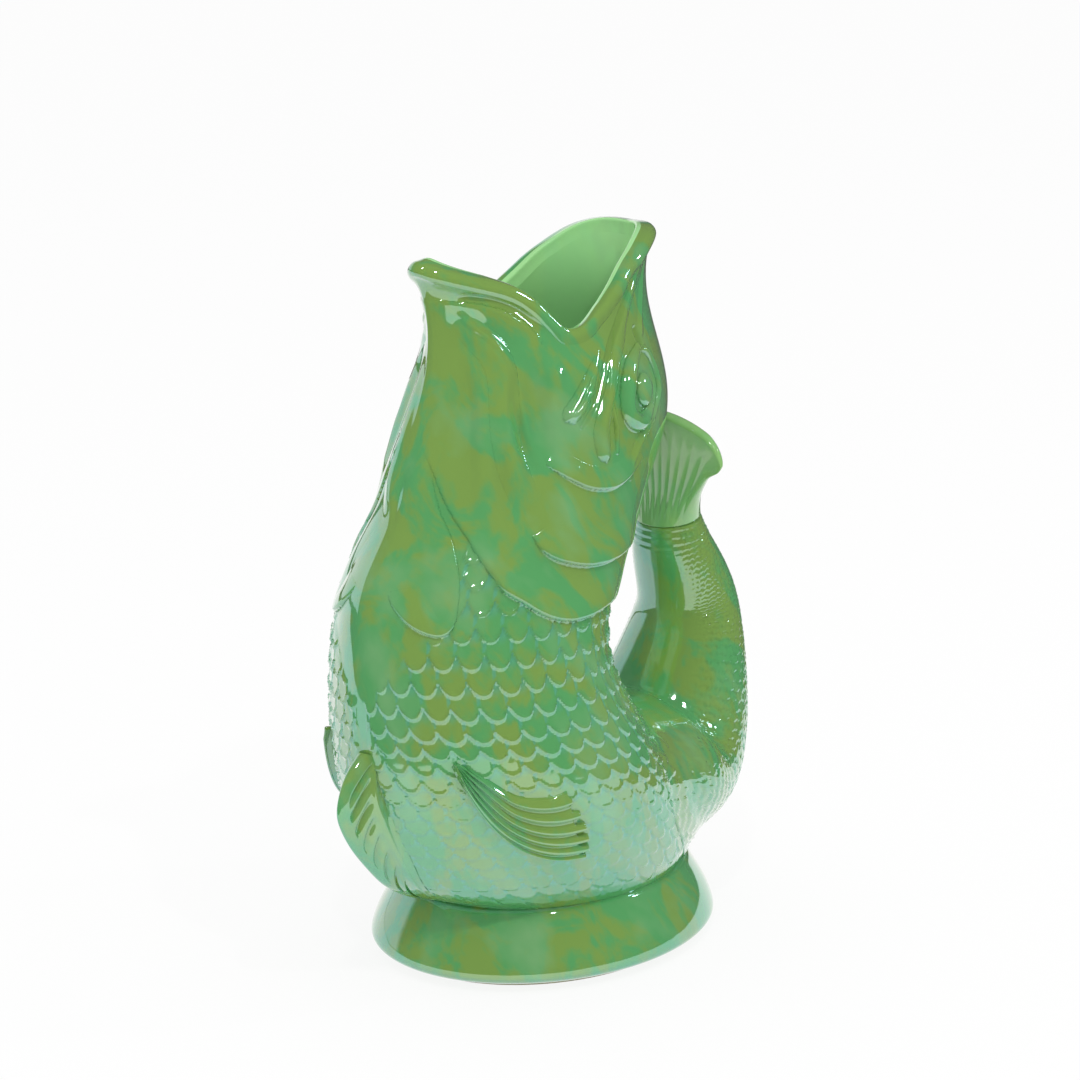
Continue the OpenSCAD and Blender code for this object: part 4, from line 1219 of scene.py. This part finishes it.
# Ventral fin: a fluted blade of clay, luted on along the middle line, that runs out on to the
# top of the foot.
fin_edge = level_height * np.array(
    [[-0.352, 0.345], [-0.382, 0.318], [-0.3976, 0.28], [-0.392, 0.25], [-0.372, 0.216],
     [-0.344, 0.182], [-0.312, 0.15], [-0.27, 0.124], [-0.23, 0.109]])
fin_root_levels = level_height * np.array(
    [0.34, 0.318, 0.288, 0.258, 0.226, 0.196, 0.166, 0.136, 0.112])
fin_root_widths = 8.5 * np.array([0.16, 0.26, 0.42, 0.64, 0.82, 0.94, 1, 1, 0.9])
fin_root_depth = 2.0
fin_blade = 2.5
fin_flutes = 8
flute_pitch, flute_start, flute_slant = 0.098, 0.06, 0.34
flute_depth = 1.5
fin_bead = 0.9
thinnest_blade = 0.4
ventral_columns, ventral_rows = 160, 260


def ventral_place(across, along):
    """From the root out along the left side and back along the right, and from the top down."""
    tip_x, tip_z = along_path(fin_edge, along)
    tip = np.stack([foot_x + tip_x, 0 * along, tip_z], -1)
    level = evenly(fin_root_levels, along)
    root = body_skin(level, 0 * level) + np.array([fin_root_depth, 0, 0])
    half = evenly(fin_root_widths, along)
    turn = 2 * math.pi * across
    out = (1 - np.cos(turn)) / 2
    side = np.sign(np.sin(turn))
    thick = half * (1 - out) ** 1.7 + fin_blade * (1 - out**4) ** 0.5
    cord = np.exp(-(((out - 0.24) / 0.07) ** 2)) * ease(0, 0.12, along) * ease(1, 0.9, along)
    phase = (along - flute_slant * (out - 0.3) - flute_start) / flute_pitch
    off = phase - np.clip(np.rint(phase), 0, fin_flutes - 1)
    middle = np.clip(1 - ((out - 0.56) / 0.24) ** 2, 0, 1)
    groove = np.exp(-((off / 0.22) ** 2)) * middle**0.6
    thick = thick + fin_bead * cord - flute_depth * groove
    thick = np.maximum(thick, thinnest_blade) * np.clip(np.abs(np.sin(turn)) * 7, 0, 1)
    return root + (tip - root) * out[:, None] + np.stack([0 * out, -side * thick, 0 * out], -1)


ventral = wrap("ventral_fin", ventral_columns, ventral_rows, ventral_place)
close_ends()
finish_piece(ventral, "ventral_fin")

# Foot: an oval cushion of clay, luted under the belly, with the floor of the jug in it and a
# recess under it. It is glazed down to the bare ring that it stands on.
foot_half_length = 65.5
foot_half_width = 54
recess_top = 5
floor_top = 11
ring_height = 2
ring_width = 7
ring_share = 0.86
foot_columns = 360
rows_a_step = 8


def outside_row(share, inset, z):
    """Half length, half width and level of an oval of the foot's outside."""
    return foot_half_length * share - inset, foot_half_width * share - inset, z


def inside_row(inset, z):
    """The same of an oval within the belly's lower edge."""
    return front_reach[0] - inset, half_width[0] - inset, z


foot_rows = [
    outside_row(0, 0, recess_top), outside_row(0.5, 0, recess_top),
    outside_row(ring_share, ring_width + 4, recess_top),
    outside_row(ring_share, ring_width + 1, 3.4), outside_row(ring_share, ring_width, ring_height),
    outside_row(ring_share, 0, ring_height), outside_row(0.945, 0, 2.8), outside_row(0.985, 0, 4),
    outside_row(1, 0, 6), outside_row(0.985, 0, 9.7), outside_row(0.95, 0, 14.5),
    outside_row(0.905, 0, 19.3), outside_row(0.872, 0, 22.6), outside_row(0.855, 0, 24.3),
    outside_row(0.84, 0, 25.4), inside_row(0, foot_top + 0.1), inside_row(2, foot_top),
    inside_row(8, foot_top), inside_row(10, 18), inside_row(16, 12), (24, 20, floor_top),
    (0, 0, floor_top)]
flank = slice(5, 16)


def oval(length, width, z, across):
    """Points at their shares of an oval's way round, from the front."""
    turn = 2 * math.pi * across
    return np.stack([foot_x - length * np.cos(turn), -width * np.sin(turn), z], -1)


def foot_place(across, along):
    knots = np.linspace(0, 1, len(foot_rows))
    on_flank = (along >= knots[flank][0]) & (along <= knots[flank][-1])
    length, width, z = (
        np.where(on_flank, through(knots[flank], column[flank], along), np.interp(along, knots, column))
        for column in zip(*foot_rows))
    return oval(length, width, z, across)


foot = wrap("glazed_foot", foot_columns, (len(foot_rows) - 1) * rows_a_step, foot_place)
finish_piece(foot, "foot")

# Bare ring: the lowest part of the foot, wiped free of glaze, on which the jug stood in the
# kiln and stands on the table. It shows the fired clay.
clay_dark = (0.62, 0.55, 0.42, 1)
clay_pale = (0.78, 0.72, 0.6, 1)
grain_depth = 0.0002
ring_corner = 0.4
ring_rows = 50

bare_clay, clay_tree, clay_shader = new_material("bare_clay")
clay_place = add_node(clay_tree, "TexCoord")
clay_grain = add_node(clay_tree, "TexNoise", {"Vector": clay_place.outputs["Object"], "Scale": 900})
clay_colour = add_node(clay_tree, "ValToRGB", {"Fac": clay_grain.outputs["Fac"]})
clay_colour.color_ramp.elements[0].color = clay_dark
clay_colour.color_ramp.elements[1].color = clay_pale
clay_bump = add_node(clay_tree, "Bump", {
    "Height": clay_grain.outputs["Fac"], "Strength": 0.3, "Distance": grain_depth})
connect(clay_tree, clay_shader, {
    "Base Color": clay_colour.outputs["Color"], "Roughness": 0.85,
    "Normal": clay_bump.outputs["Normal"]})


def ring_place(across, along):
    ways = [0, 0.12, 0.3, 0.38, 0.5, 0.62, 0.7, 0.88, 1]
    insets = [0, 0, 0, ring_corner, ring_width / 2, ring_width - ring_corner, ring_width, ring_width, 0]
    heights = [ring_height, ring_height / 2, ring_corner, 0, 0, 0, ring_corner, ring_height, ring_height]
    return oval(*outside_row(ring_share, np.interp(along, ways, insets), np.interp(along, ways, heights)),
                across)


bare_ring = wrap("bare_foot_ring", foot_columns, ring_rows, ring_place)
finish_piece(bare_ring, "foot_ring", slot="bare_clay", outside=bare_clay)
